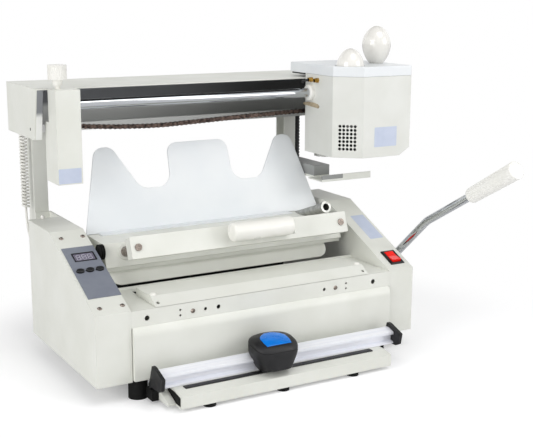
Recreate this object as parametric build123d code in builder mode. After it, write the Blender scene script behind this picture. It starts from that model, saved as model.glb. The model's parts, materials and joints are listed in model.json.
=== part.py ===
from build123d import *
import os
from math import atan2, cos, hypot, pi, radians, sin, sqrt, tan

# Desk top hot melt binding machine. Sizes are in millimetres. X runs along the machine, Y to its back, Z up.
# Sizes are taken from the middle between the side frames, the cabinets' front faces and the desk.

# Side frames and cabinets
clear_width = 345.0
frame_sheet = 2.5
cover_sheet = 1.5
pan_sheet = 2.0
foot_height = 22.0
foot_radius = 11.0
body_depth = 260.0
cabinet_inset = 39.0
cabinet_top = 167.0
front_height = 103.7
slope_run = 141.9
left_cabinet_width = 38.9
right_cabinet_width = 34.3
front_foot_y = 11.0
rear_foot_y = 245.0
foot_inset = 10.5
pan_flange = 16.0
pan_wall_top = 120.0
cover_seam = 0.8

# Posts and beam
post_width = 18.0
post_depth = 23.0
post_bottom = 60.0
post_sheet = 2.0
beam_left = -214.0
beam_right = 296.0
beam_front = 170.0
beam_behind = 27.0
beam_bottom = 270.0
beam_top = 331.0
beam_sheet = 2.0
beam_ledge = 42.0
beam_lip = 8.0
beam_cheek_front = 182.0
beam_strip = 9.0

# Guide rod and hanging box
rod_radius = 6.0
rod_y = 155.0
rod_z = 312.5
rod_end_radius = 9.0
rod_end_width = 4.0
box_left = -200.0
box_right = -170.0
box_front = 143.0
box_bottom = 221.0
box_back = 184.0
box_step = 292.0

# Chain
chain_height = 5.9
chain_width = 5.6
chain_y = 180.0
chain_left = -165.0
chain_right = 286.0
chain_low_x = -50.0
chain_low_z = 278.6
chain_end_z = 284.3
chain_flat_z = 285.4
chain_flat_x = 150.0

# Table, front cover and nip bar
table_height = 103.0
table_depth = 82.0
table_lip_run = 1.5
table_lip_rise = 3.0
strip_bottom = 84.5
cover_bulge = 5.0
cover_crown = 12.0
cover_depth = 13.0
nip_length = 285.0
nip_front = 1.0
nip_ridge = 17.0
nip_back = 57.0
nip_rise = 9.0
nip_gap = 0.3
nip_sheet = 2.0
leg_x = 136.0
leg_width = 4.0
leg_front = 36.0
leg_back = 50.0
leg_bottom = 34.0
leg_foot = 12.0
slot_clearance = 1.0
nip_travel = 23.1
nip_screw_x = 137.4
nip_screw_y = 21.0
nip_screw_head = 4.2
nip_screw_length = 6.0

# Press lever
shaft_radius = 6.0
shaft_y = 80.0
shaft_z = 80.0
shaft_clearance = 0.06
arm_reach = 40.0
arm_width = 16.0
arm_sheet = 4.0
arm_x = 128.0
arm_hub = 12.0
pin_radius = 3.0
pin_slot = 8.2
pin_slot_run = 8.2
pin_slot_centre = 43.1
lever_x = 217.0
lever_hub_radius = 12.0
lever_hub_width = 12.0
lever_radius = 5.0
lever_bend = (-15.0, 165.2)
lever_bend_radius = 45.0
grip_base = (-93.5, 209.7)
grip_length = 84.0
grip_bend = 30.1
grip_small = 9.4
grip_large = 10.6
grip_bore = 64.0

# Clamp, on a plane that leans back
clamp_lean = 19.5
clamp_y = 100.0
clamp_z = 141.0
jaw_half = 163.0
jaw_face = 1.5
jaw_bottom = 128.0
jaw_top = 155.0
jaw_back = 158.0
jaw_lip = 122.6
jaw_lip_y = 98.0
jaw_sheet = 1.5
trunnion_radius = 5.0
trunnion_y = 130.0
trunnion_z = 140.0
back_face = 47.0
back_foot = 13.0
back_centre = 1.0
bar_front = 43.0
bar_thickness = 14.0
bar_height = 26.0
bar_rise = 2.5
bar_length = 294.0
bar_centre = 1.0
bolt_spacing = 276.0
bolt_radius = 6.0
bolt_shank = 3.0
bolt_head = 4.2
bolt_head_height = 1.6
bolt_back = 42.0
bolt_slot = 1.2
bush_clearance = 0.06
bush_wall = 3.5
bush_depth = 14.0
stud_radius = 4.0
stud_head = 7.0
stud_head_height = 1.4
plate_gap = 0.3
lock_plate = 3.0
lock_left = -8.0
lock_right = 58.0
lock_low = -6.0
lock_high = 10.0
lock_grip_radius = 11.5
lock_grip_left = -26.0
lock_grip_face = 61.0
lock_grip_rise = 5.0
lock_spindle = 4.0
stop_x = 131.0
stop_rise = 24.9
stop_radius = 6.5
stop_bore = 4.5
stop_front = 28.0
stop_ring = 7.4
bumper_y = 104.0
bumper_z = 146.0
bumper_radius = 9.0
bumper_width = 6.0
spine_left = -159.5
spine_right = 140.0
spine_corner = 14.0

# Carriage
car_left = 152.5
car_right = 257.0
car_front = 77.5
car_cut_x = 182.5
car_cut_y = 103.5
car_back = 169.0
car_bottom = 233.0
car_top = 336.5
car_sheet = 1.5
car_corner_x = 240.6
car_corner_z = 243.0
ledge_back = 205.0
ledge_sheet = 2.0
lid_gap = 0.2
lid_top = 349.5
lid_back = 207.0
hinge_y = 210.9
hinge_z = 340.0
hinge_barrel = 3.5
hinge_pin = 1.5
hinge_left = 175.0
hinge_right = 230.0
hinge_middle_left = 190.0
hinge_middle_right = 215.0
hinge_play = 0.3
vent_radius = 1.85
vent_pitch = 4.9
vent_z = 259.0
knob_x = 238.0
knob_y = 130.0
knob_radius = 19.0
knob_height = 49.0
knob_foot = 9.0
lift_x = 181.0
lift_y = 107.0
lift_radius = 18.0
lift_top = 371.5
lift_rod = 4.0
lift_end = 250.0
lift_boss = 7.5
lift_boss_top = 270.0
lift_hole = 1.5
spring_radius = 6.4
spring_wire = 0.6
spring_turns = 6
flange_radius = 10.5
flange_width = 6.0
barrel_radius = 8.0
barrel_depth = 17.5
rod_clearance = 0.06
gland_radius = 3.4
gland_z = 329.4
gland_front_y = 138.6
gland_back_y = 153.0
gland_length = 6.0
gland_bore = 1.6

# Glue tank, roller, wheel and cutter inside the carriage
tank_left = 190.0
tank_right = 231.0
tank_front = 96.0
tank_back = 138.0
tank_bottom = 236.0
tank_top = 285.0
tank_wall = 3.0
roller_radius = 15.0
roller_x = 210.5
roller_z = 245.0
roller_gap = 0.5
roller_shaft = 4.0
pulley_radius = 8.0
pulley_front = 140.0
pulley_width = 7.0
belt_width = 5.0
belt_thickness = 1.5
belt_gap = 0.3
wheel_teeth = 12
wheel_root = 10.6
wheel_tip = 13.75
wheel_tooth = 3.6
wheel_width = 3.0
wheel_z = 303.0
wheel_shaft = 3.0
wheel_boss = 6.0
wheel_boss_front = 162.5
motor_x = 171.5
motor_y = 150.0
motor_radius = 12.0
motor_top = 285.0
motor_flange = 16.5
motor_flange_height = 2.5
cutter_radius = 13.5
cutter_bottom = 228.0
cutter_height = 5.0
cutter_gap = 1.0
cutter_teeth = 10
spindle_radius = 2.5
spindle_depth = 18.0
heater_thickness = 5.0

# Spine adjuster in the hanging box
adjust_x = -191.0
adjust_y = 160.0
screw_radius = 3.0
collar_radius = 5.5
collar_bottom = 335.5
dial_bottom = 342.0
dial_top = 359.0
dial_radius = 11.0
dial_grooves = 30
scraper_bottom = 232.0
scraper_top = 256.0
scraper_gap = 0.4
screw_end = 236.0

# Drip tray
tray_left = 148.0
tray_right = 225.0
tray_front = 118.0
tray_back = 151.5
tray_drop = 15.0
tray_lip = 7.0
tray_cut = 14.0
tray_arm_left = 156.0
tray_arm_right = 180.0
tray_gap = 13.0

# Controls
panel_left = -211.0
panel_low = 29.0
panel_high = 121.0
panel_sheet = 1.0
button_x = (-203.6, -192.0, -180.4)
button_rise = 76.5
button_half_x = 4.6
button_half_y = 3.3
button_stand = 2.4
button_gap = 0.25
button_flange = 1.2
button_travel = 1.0
board_depth = 12.0
board_sheet = 1.6
switch_height = 3.5
window_low = 94.0
window_high = 109.5
window_left = -203.5
window_right = -177.0
rocker_x = 192.5
rocker_rise = 23.2
bezel_width = 20.0
bezel_length = 26.5
bezel_stand = 2.0
bezel_wall = 1.6
bezel_depth = 14.0
rocker_width = 12.8
rocker_half = 9.7
rocker_pivot = 3.0
rocker_tilt = 7.0
inlet_x = 192.0
inlet_z = 60.0
inlet_width = 27.0
inlet_height = 20.0
inlet_depth = 16.0

# Creaser in front of the body
crease_left = -141.0
crease_right = 136.0
crease_front = -57.5
crease_back = -8.0
crease_foot = 4.5
crease_edge = 18.5
crease_top = 21.3
crease_bevel = -42.0
crease_sheet = 2.0
crease_foot_radius = 7.2
crease_strip = 1.0
rail_left = -154.0
rail_right = 157.0
cap_width = 4.0
rail_pin_y = -12.0
rail_pin_z = 20.0
rail_pin = 2.5
arm_plate = 8.8
arm_gap = 0.2
block_width = 8.0
plug_depth = 3.0
head_x = -17.0
head_half = 27.0
head_low_half = 17.0
head_waist = 44.0
head_front = -60.0
head_back = -14.0
head_bottom = 22.8
head_skirt = 27.0
head_lip = 53.0
head_ridge_y = -30.0
head_top = 61.5
head_play = 0.35
wheel_play = 0.3
crease_wheel = 8.0
crease_wheel_front = -42.5
crease_wheel_back = -37.0

# Looms from the beam down to the cabinets
loom_behind = 5.0
loom_bottom = 160.0
loom_turn_z = 128.0
loom_reach = 46.0
loom_bend = 45.0
loom_top = 278.0
spiral_x = -203.0
spiral_path = 3.6
spiral_wire = 1.6
spiral_pitch = 4.1
spiral_turns = 20
spiral_cable = 1.5
ribbed_x = 198.0
ribbed_radius = 4.85
ribbed_root = 4.1
ribbed_bore = 3.3
ribbed_cable = 2.8
rib_pitch = 4.4
rib_count = 21
loom_hole = 0.4

# Places that follow from the sizes above
half_clear = clear_width / 2
cabinet_depth = body_depth - cabinet_inset
beam_back = body_depth + beam_behind
nip_top = table_height + nip_rise
loom_y = body_depth + loom_behind
loom_end_y = cabinet_depth - loom_reach
tray_arm_height = cutter_bottom - tray_gap
tray_height = tray_arm_height - tray_drop
frame_out = half_clear + frame_sheet
left_out = -frame_out - left_cabinet_width
right_out = frame_out + right_cabinet_width
post_out = frame_out + post_width
post_back = body_depth + post_depth
slope_angle = atan2(cabinet_top - front_height, slope_run)
slant = Plane(origin=(0, 0, front_height), x_dir=(1, 0, 0), z_dir=(0, -sin(slope_angle), cos(slope_angle)))
lean = radians(clamp_lean)
clamp = Plane(origin=(0, clamp_y, clamp_z), x_dir=(1, 0, 0), z_dir=(0, -cos(lean), sin(lean)))
lever_plane = Plane(origin=(lever_x, 0, 0), x_dir=(0, 1, 0), z_dir=(1, 0, 0))
bolt_places = (bar_centre - bolt_spacing / 2, bar_centre + bolt_spacing / 2)
car_plan = [
    (car_left, car_cut_y),
    (car_cut_x, car_front),
    (car_right, car_front),
    (car_right, car_back),
    (car_left, car_back),
]
lid_plan = car_plan[:3] + [(car_right, lid_back), (car_left, lid_back)]
lid_bottom = car_top + lid_gap
lift_bottom = lift_top - knob_height


def block(x, y, z, mode=Mode.ADD):
    """A box between two values on each axis."""
    with Locations(((x[0] + x[1]) / 2, (y[0] + y[1]) / 2, (z[0] + z[1]) / 2)):
        Box(abs(x[1] - x[0]), abs(y[1] - y[0]), abs(z[1] - z[0]), mode=mode)


def prism(plane, points, amount, mode=Mode.ADD):
    """A prism that stands on a plane, from the corners of its outline."""
    with BuildSketch(plane) as outline:
        with BuildLine():
            Polyline(*points, close=True)
        make_face()
    extrude(outline.sketch, amount=amount, mode=mode)


def side_prism(points, x_from, x_to, mode=Mode.ADD):
    """A prism along X, from the (Y, Z) corners of its outline."""
    prism(Plane.YZ.offset(x_from), points, x_to - x_from, mode)


def bar(start, end, radius, mode=Mode.ADD):
    """A round bar between two points."""
    way = Vector(*end) - Vector(*start)
    with Locations(Plane(origin=start, z_dir=way)):
        Cylinder(radius, way.length, align=(Align.CENTER, Align.CENTER, Align.MIN), mode=mode)


def spot(plane, x, y, lift=0.0):
    """The same plane with its origin at a place on it."""
    return Plane(origin=plane.from_local_coords((x, y, lift)), x_dir=plane.x_dir, z_dir=plane.z_dir)


def peg(plane, radius, start, end, mode=Mode.ADD):
    """A round peg on a plane's origin, between two heights above it."""
    with BuildSketch(plane.offset(start)) as outline:
        Circle(radius)
    extrude(outline.sketch, amount=end - start, mode=mode)


def folded(path, gauge):
    """Corners of a folded sheet: its path, and the same path moved to its left by the gauge."""
    normals = []
    for (y0, z0), (y1, z1) in zip(path, path[1:]):
        run = hypot(y1 - y0, z1 - z0)
        normals.append(((z0 - z1) / run, (y1 - y0) / run))
    inner = []
    for (y, z), (ay, az), (by, bz) in zip(path, [normals[0]] + normals, normals + [normals[-1]]):
        share = gauge / (1 + ay * by + az * bz)
        inner.append((y + share * (ay + by), z + share * (az + bz)))
    return path + inner[::-1]


def body_profile(depth):
    """The cabinets' side view, from the front edge to a depth."""
    return [
        (0, foot_height),
        (depth, foot_height),
        (depth, cabinet_top),
        (slope_run, cabinet_top),
        (0, front_height),
    ]


def cabinet(x_inner, x_outer):
    """A cabinet cover, open towards its side frame."""
    inward = cover_sheet if x_outer < x_inner else -cover_sheet
    side_prism(body_profile(cabinet_depth), x_inner, x_outer)
    with BuildSketch(Plane.YZ.offset(x_inner)) as inside:
        with BuildLine():
            Polyline(*body_profile(cabinet_depth), close=True)
        make_face()
        offset(amount=-cover_sheet, kind=Kind.INTERSECTION)
    extrude(inside.sketch, amount=x_outer + inward - x_inner, mode=Mode.SUBTRACT)


def screw(plane, head, shank, length):
    """A screw with a low cone head and a cross recess, sitting on a plane's origin."""
    height = 0.5 * head
    with Locations(plane):
        Cone(head, 0.55 * head, height, align=(Align.CENTER, Align.CENTER, Align.MIN))
    with Locations(plane.offset(height)):
        Box(0.9 * head, 0.22 * head, height, mode=Mode.SUBTRACT)
        Box(0.22 * head, 0.9 * head, height, mode=Mode.SUBTRACT)
    peg(plane, shank, -length, 0)


def egg(x, y, bottom, radius, foot):
    """An egg shaped knob that stands on a small flat."""
    profile = Plane(origin=(x, y, bottom), x_dir=(1, 0, 0), z_dir=(0, -1, 0))
    with BuildSketch(profile) as half:
        with BuildLine():
            Line((0, 0), (foot, 0))
            Spline(
                (foot, 0),
                (radius, 0.52 * knob_height),
                (0, knob_height),
                tangents=((1, 1.1), (0, 1), (-1, 0)),
                tangent_scalars=(1, 1, 1),
            )
            Line((0, knob_height), (0, 0))
        make_face()
    revolve(half.sketch, axis=Axis((x, y, bottom), (0, 0, 1)))


def biarc(start, start_way, end, end_way):
    """Two tangent arcs from one point and direction to another."""
    chord = end - start
    ways = start_way + end_way
    spread = 2 * (1 - start_way.dot(end_way))
    along = chord.dot(ways)
    reach = (sqrt(along * along + spread * chord.dot(chord)) - along) / spread
    middle = (start + end + (start_way - end_way) * reach) * 0.5
    first = TangentArc(start, middle, tangent=start_way)
    TangentArc(middle, end, tangent=first % 1)


def coil(x, y, bottom, radius, pitch, turns, wire):
    """A coil about an upright axis, as one tube of quarter turns, with upright ends."""
    lead = 2 * wire
    climb = radius
    quarters = 4 * turns
    base = bottom + lead + climb
    knots = []
    for quarter in range(1, quarters):
        angle = quarter * pi / 2
        place = Vector(x + radius * cos(angle), y + radius * sin(angle), base + pitch * quarter / 4)
        way = Vector(-sin(angle), cos(angle), pitch / (2 * pi * radius)).normalized()
        knots.append((place, way))
    top = base + pitch * turns
    up = Vector(0, 0, 1)
    knots.insert(0, (Vector(x + radius, y, bottom + lead), up))
    knots.append((Vector(x + radius, y, top + climb), up))
    with BuildLine() as route:
        Line((x + radius, y, bottom), knots[0][0])
        for (start, start_way), (end, end_way) in zip(knots, knots[1:]):
            biarc(start, start_way, end, end_way)
        Line(knots[-1][0], (x + radius, y, top + climb + lead))
    with BuildSketch(Plane.XY.offset(bottom)) as section:
        with Locations((x + radius, y)):
            Circle(wire)
    sweep(section.sketch, path=route.line)
    gap = least_gap(route.line, turns, wire)
    print(f"coil of {turns} turns, least gap to itself {gap:.2f}")


def least_gap(route, turns, wire):
    """Least distance between points of a coil that are over a third of a turn apart, less the wire."""
    steps = 24 * (turns + 1)
    places = [route @ (step / steps) for step in range(steps + 1)]
    apart = []
    for near in range(len(places)):
        for far in range(near + 9, len(places)):
            apart.append((places[near] - places[far]).length)
    return min(apart) - 2 * wire


def cable(points, bends, radius):
    """A cable with arcs at its corners."""
    with BuildLine() as route:
        FilletPolyline(*points, radius=bends)
    with BuildSketch(Plane(origin=route.line @ 0, z_dir=route.line % 0)) as section:
        Circle(radius)
    run = sweep(section.sketch, path=route.line)
    by_length = sum(edge.length for edge in route.edges()) * pi * radius**2
    print(f"cable radii {bends}, volume {run.volume:.0f}, section by length {by_length:.0f}")


def chain_z(x):
    """Height of the hanging chain's middle line."""
    if x < chain_low_x:
        share = (chain_low_x - x) / (chain_low_x - chain_left)
        return chain_low_z + (chain_end_z - chain_low_z) * share**2
    share = min(1.0, (x - chain_low_x) / (chain_flat_x - chain_low_x))
    return chain_low_z + (chain_flat_z - chain_low_z) * share * (2 - share) * (0.5 + 0.5 * share)


# Base pan, with a turned up edge at each side and its back turned up as the body's rear wall
with BuildPart() as base_pan:
    block((-half_clear, half_clear), (0, body_depth - frame_sheet), (foot_height, foot_height + pan_sheet))
    for side in (-1, 1):
        block(
            (side * half_clear, side * (half_clear - pan_sheet)),
            (cover_depth, body_depth - frame_sheet),
            (foot_height, foot_height + pan_flange),
        )
    block(
        (-half_clear, half_clear),
        (body_depth - frame_sheet - pan_sheet, body_depth - frame_sheet),
        (foot_height, pan_wall_top),
    )

# Side frames, each with a flange bent outwards at its back for the post
with BuildPart() as side_frames:
    for side in (-1, 1):
        side_prism(body_profile(body_depth), side * half_clear, side * frame_out)
        block(
            (side * frame_out, side * post_out),
            (body_depth - frame_sheet, body_depth),
            (foot_height, cabinet_top),
        )
    shaft_hole = shaft_radius + shaft_clearance
    bar((-frame_out, shaft_y, shaft_z), (frame_out, shaft_y, shaft_z), shaft_hole, Mode.SUBTRACT)
    bar(
        (-frame_out, trunnion_y, trunnion_z),
        (frame_out, trunnion_y, trunnion_z),
        trunnion_radius,
        Mode.SUBTRACT,
    )

# Left cabinet cover, with openings for the buttons, its screws and the spiral wrapped cable
screw_head = 2.8
screw_shank = 1.5
screw_length = 8.0
screw_rise = (11.8, 141.0)
screw_reach = (-204.3, -178.1)
left_screws = [spot(slant, x, rise) for x in screw_reach for rise in screw_rise]
with BuildPart() as cabinet_left:
    cabinet(-frame_out, left_out)
    for x in button_x:
        with BuildSketch(spot(slant, x, button_rise, -2 * cover_sheet)):
            Ellipse(button_half_x + button_gap, button_half_y + button_gap)
        extrude(amount=4 * cover_sheet, mode=Mode.SUBTRACT)
    for place in left_screws:
        peg(place, screw_shank, -2 * cover_sheet, cover_sheet, Mode.SUBTRACT)
    hole = spiral_cable + loom_hole
    bar(
        (spiral_x, cabinet_depth - 2 * cover_sheet, loom_turn_z),
        (spiral_x, cabinet_depth + cover_sheet, loom_turn_z),
        hole,
        Mode.SUBTRACT,
    )

# Right cabinet cover, with openings for the rocker, the lever shaft, the mains inlet and a cable
bezel_hole_x = bezel_width - 2 * bezel_wall
bezel_hole_y = bezel_length - 2 * bezel_wall
with BuildPart() as cabinet_right:
    cabinet(frame_out, right_out)
    with BuildSketch(spot(slant, rocker_x, rocker_rise, -2 * cover_sheet)):
        Rectangle(bezel_hole_x, bezel_hole_y)
    extrude(amount=4 * cover_sheet, mode=Mode.SUBTRACT)
    bar(
        (right_out - 2 * cover_sheet, shaft_y, shaft_z),
        (right_out + cover_sheet, shaft_y, shaft_z),
        shaft_radius + 1.0,
        Mode.SUBTRACT,
    )
    bar(
        (ribbed_x, cabinet_depth - 2 * cover_sheet, loom_turn_z),
        (ribbed_x, cabinet_depth + cover_sheet, loom_turn_z),
        ribbed_cable + loom_hole,
        Mode.SUBTRACT,
    )
    block(
        (inlet_x - inlet_width / 2, inlet_x + inlet_width / 2),
        (cabinet_depth - 2 * cover_sheet, cabinet_depth + cover_sheet),
        (inlet_z - inlet_height / 2, inlet_z + inlet_height / 2),
        Mode.SUBTRACT,
    )

# Screws of the covers and of the front strip
strip_centre = -2.8
strip_z = 93.0
strip_screw = 95.5
with BuildPart() as cover_screws:
    for place in left_screws:
        screw(place, screw_head, screw_shank, screw_length)
    for side in (-1, 1):
        place = (strip_centre + side * strip_screw, 0, strip_z)
        front = Plane(origin=place, x_dir=(1, 0, 0), z_dir=(0, -1, 0))
        screw(front, screw_head, screw_shank, screw_length)

# Table plate, with its front strip turned down and its back edge turned up
strip_sheet = cover_sheet
strip_pair = (90.0, 96.3)
slot_front = leg_front - slot_clearance
slot_back = leg_back + nip_travel + slot_clearance
with BuildPart() as table_plate:
    table_path = [
        (table_depth + table_lip_run, table_height + table_lip_rise),
        (table_depth, table_height),
        (0, table_height),
        (0, strip_bottom),
    ]
    side_prism(folded(table_path, strip_sheet), -half_clear, half_clear)
    for side in (-1, 1):
        block(
            (side * (leg_x - slot_clearance), side * (leg_x + leg_width + slot_clearance)),
            (slot_front, slot_back),
            (table_height - 2 * strip_sheet, table_height + strip_sheet),
            Mode.SUBTRACT,
        )
        holes = [
            (151.0, strip_z, 3.0),
            (111.0, strip_pair[0], 1.3),
            (111.0, strip_pair[1], 1.3),
            (strip_screw, strip_z, screw_shank),
            (79.6, strip_z, 2.0),
        ]
        for reach, z, radius in holes:
            x = strip_centre + side * reach
            bar((x, -strip_sheet, z), (x, 2 * strip_sheet, z), radius, Mode.SUBTRACT)
    bar((-66.0, -strip_sheet, strip_z), (-66.0, 2 * strip_sheet, strip_z), 2.5, Mode.SUBTRACT)

# Front cover, a shallow box with a crowned top edge, open at the back
with BuildPart() as front_cover:
    cover_low = foot_height + pan_sheet
    cover_half = half_clear - cover_seam
    with BuildSketch(Plane.YZ.offset(-cover_half)):
        with BuildLine():
            Line((cover_depth, cover_low), (-cover_bulge, cover_low))
            Line((-cover_bulge, cover_low), (-cover_bulge, strip_bottom - cover_crown))
            RadiusArc((-cover_bulge, strip_bottom - cover_crown), (0, strip_bottom), cover_crown + 2)
            Line((0, strip_bottom), (cover_depth, strip_bottom))
            Line((cover_depth, strip_bottom), (cover_depth, cover_low))
        make_face()
    extrude(amount=2 * cover_half)
    block(
        (cover_sheet - cover_half, cover_half - cover_sheet),
        (cover_sheet, cover_depth),
        (cover_low + cover_sheet, strip_bottom - cover_sheet),
        Mode.SUBTRACT,
    )
    block(
        (cover_sheet - cover_half, cover_half - cover_sheet),
        (cover_sheet - cover_bulge, cover_sheet),
        (cover_low + cover_sheet, strip_bottom - cover_crown),
        Mode.SUBTRACT,
    )

# Side view of the creaser's base, a channel with a bevelled front edge
crease_profile = [
    (crease_back, crease_foot),
    (crease_back, crease_top),
    (crease_bevel, crease_top),
    (crease_front, crease_edge),
    (crease_front, crease_foot),
]

# Rubber feet under the body and under the creaser, and the creaser's end blocks and end plugs
creaser_feet = (-103.5, -10.0, 85.5)
creaser_foot_y = -50.0
block_front = -19.0
block_back = -3.0
block_low = 3.5
block_height = 16.0
arm_left = crease_left - arm_gap
arm_right = crease_right + arm_gap
with BuildPart() as rubber_feet:
    for side in (-1, 1):
        for y in (front_foot_y, rear_foot_y):
            x = side * (half_clear - foot_inset)
            bar((x, y, 0), (x, y, foot_height), foot_radius)
    for x in creaser_feet:
        bar((x, creaser_foot_y, 0), (x, creaser_foot_y, crease_foot), crease_foot_radius)
    block(
        (arm_left - arm_plate - block_width, arm_left - arm_plate),
        (block_front, block_back),
        (block_low, block_height),
    )
    block(
        (arm_right + arm_plate, arm_right + arm_plate + block_width),
        (block_front, block_back),
        (block_low, block_height),
    )
    for end, depth in ((crease_left, plug_depth), (crease_right, -plug_depth)):
        with BuildSketch(Plane.YZ.offset(end)) as inside:
            with BuildLine():
                Polyline(*crease_profile, close=True)
            make_face()
            offset(amount=-crease_sheet, kind=Kind.INTERSECTION)
        extrude(inside.sketch, amount=depth)

# Rear posts, each a channel that is open towards the middle
with BuildPart() as posts:
    for side in (-1, 1):
        block(
            (side * frame_out, side * post_out),
            (body_depth, post_back),
            (post_bottom, beam_bottom),
        )
        block(
            (side * frame_out, side * (post_out - post_sheet)),
            (body_depth + post_sheet, post_back - post_sheet),
            (post_bottom, beam_bottom),
            Mode.SUBTRACT,
        )

# Beam, an open channel with closed ends
with BuildPart() as beam:
    beam_path = [
        (beam_front, beam_top),
        (beam_back, beam_top),
        (beam_back, beam_bottom),
        (beam_back - beam_ledge, beam_bottom),
        (beam_back - beam_ledge, beam_bottom + beam_lip + beam_sheet),
    ]
    side_prism(folded(beam_path, -beam_sheet), beam_left, beam_right)
    cheek = [
        (beam_front, beam_top),
        (beam_cheek_front, beam_bottom),
        (beam_back, beam_bottom),
        (beam_back, beam_top),
    ]
    side_prism(cheek, beam_left, beam_left + beam_sheet)
    strip = folded([(beam_front, beam_top), (beam_cheek_front, beam_bottom)], beam_sheet)
    side_prism(strip, beam_left, beam_left + beam_strip)
    bracket = [
        (box_front, beam_top),
        (box_front, rod_z - 2 * rod_radius),
        (beam_cheek_front, beam_bottom),
        (beam_back, beam_bottom),
        (beam_back, beam_top),
    ]
    side_prism(bracket, beam_right - beam_sheet, beam_right)
    bar((beam_right - 2 * beam_sheet, rod_y, rod_z), (beam_right, rod_y, rod_z), rod_radius, Mode.SUBTRACT)
    for x, radius in ((spiral_x, spiral_cable + loom_hole), (ribbed_x, ribbed_cable + loom_hole)):
        bar((x, loom_y, beam_bottom), (x, loom_y, beam_bottom + 2 * beam_sheet), radius, Mode.SUBTRACT)

# Box that hangs at the beam's left end and holds the rod's end and the spine adjuster
with BuildPart() as rod_box:
    wall = [
        (box_front, box_bottom),
        (box_front, beam_top),
        (beam_front, beam_top),
        (beam_front, box_step),
        (box_back, box_step),
        (box_back, box_bottom),
    ]
    side_prism(wall, box_left, box_left + cover_sheet)
    side_prism(wall, box_right - cover_sheet, box_right)
    block((box_left, box_right), (box_front, box_front + cover_sheet), (box_bottom, beam_top))
    block((box_left, box_right), (box_front, beam_front), (beam_top - cover_sheet, beam_top))
    bar((box_right - 2 * cover_sheet, rod_y, rod_z), (box_right, rod_y, rod_z), rod_radius, Mode.SUBTRACT)
    bar(
        (adjust_x, adjust_y, beam_top - 2 * cover_sheet),
        (adjust_x, adjust_y, beam_top),
        screw_radius + rod_clearance,
        Mode.SUBTRACT,
    )

# Guide rod, with a collar inside the hanging box
with BuildPart() as guide_rod:
    collar_face = box_right - cover_sheet
    bar((collar_face - rod_end_width, rod_y, rod_z), (beam_right, rod_y, rod_z), rod_radius)
    bar((collar_face - rod_end_width, rod_y, rod_z), (collar_face, rod_y, rod_z), rod_end_radius)
    chamfer(guide_rod.edges().sort_by(Axis.X)[-1], rod_radius / 8)

# Chain, hung from the box to the beam's right end, in short straight runs
with BuildPart() as drive_chain:
    runs = 30
    line = []
    for step in range(runs + 1):
        x = chain_left + (chain_right - chain_left) * step / runs
        line.append((x, chain_z(x)))
    upper = [(x, z + chain_height / 2) for x, z in line]
    lower = [(x, z - chain_height / 2) for x, z in line]
    prism(Plane.XZ.offset(-chain_y - chain_width / 2), upper + lower[::-1], chain_width)
    anchor = chain_height / 4
    bar((box_right, chain_y, chain_z(chain_left)), (chain_left, chain_y, chain_z(chain_left)), anchor)
    bar((chain_right, chain_y, chain_flat_z), (beam_right - beam_sheet, chain_y, chain_flat_z), anchor)

# Ribbed conduit at the right post, open along its middle for the cable
rib_steps = ((0.0, ribbed_root), (0.25, ribbed_radius), (0.7, ribbed_radius), (0.95, ribbed_root))
with BuildPart() as conduit:
    low = beam_bottom - rib_pitch * rib_count
    rings = []
    for rib in range(rib_count):
        rings += [(low + rib_pitch * (rib + share), radius) for share, radius in rib_steps]
    for z, radius in rings + [(beam_bottom, ribbed_root)]:
        with BuildSketch(Plane.XY.offset(z)):
            with Locations((ribbed_x, loom_y)):
                Circle(radius)
    loft(ruled=True)
    bar((ribbed_x, loom_y, low), (ribbed_x, loom_y, beam_bottom), ribbed_bore, Mode.SUBTRACT)

# Cable looms: a spiral wrapped cable at the left post and the conduit's cable at the right post
with BuildPart() as cable_looms:
    spiral_span = 2 * (2 * spiral_wire + spiral_path) + spiral_pitch * spiral_turns
    coil(spiral_x, loom_y, beam_bottom - spiral_span, spiral_path, spiral_pitch, spiral_turns, spiral_wire)
    for x, radius in ((spiral_x, spiral_cable), (ribbed_x, ribbed_cable)):
        route = [(x, loom_y, loom_top), (x, loom_y, loom_turn_z), (x, loom_end_y, loom_turn_z)]
        cable(route, [loom_bend], radius)
    add(conduit.part)

# Drip tray on its arm, one folded sheet
with BuildPart() as drip_tray:
    tray_plan = [
        (tray_left, tray_front),
        (tray_right, tray_front),
        (tray_right, tray_front + tray_cut / 2),
        (tray_arm_right, tray_back),
        (tray_left, tray_back),
    ]
    prism(Plane.XY.offset(tray_height - cover_sheet), tray_plan, cover_sheet)
    lip_top = tray_height + tray_lip
    block((tray_left, tray_right), (tray_front, tray_front + cover_sheet), (tray_height, lip_top))
    block(
        (tray_arm_left, tray_arm_right),
        (tray_back - cover_sheet, tray_back),
        (tray_height - cover_sheet, tray_arm_height),
    )
    block(
        (tray_arm_left, tray_arm_right),
        (tray_back - cover_sheet, body_depth),
        (tray_arm_height - cover_sheet, tray_arm_height),
    )
    block(
        (tray_arm_left, tray_arm_left + cover_sheet),
        (tray_back - cover_sheet, body_depth),
        (tray_height - cover_sheet, tray_arm_height),
    )

# Control panel, a thin plate on the left cabinet's slope with a window
with BuildPart() as control_panel:
    panel_right = -half_clear - arm_gap
    with BuildSketch(slant):
        with Locations(((panel_left + panel_right) / 2, (panel_low + panel_high) / 2)):
            Rectangle(panel_right - panel_left, panel_high - panel_low)
        with Locations([(x, button_rise) for x in button_x]):
            Ellipse(button_half_x + button_gap, button_half_y + button_gap, mode=Mode.SUBTRACT)
    extrude(amount=panel_sheet)
    with BuildSketch(slant.offset(panel_sheet)):
        with Locations(((window_left + window_right) / 2, (window_low + window_high) / 2)):
            Rectangle(window_right - window_left, window_high - window_low)
    extrude(amount=-panel_sheet / 2, mode=Mode.SUBTRACT)

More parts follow.
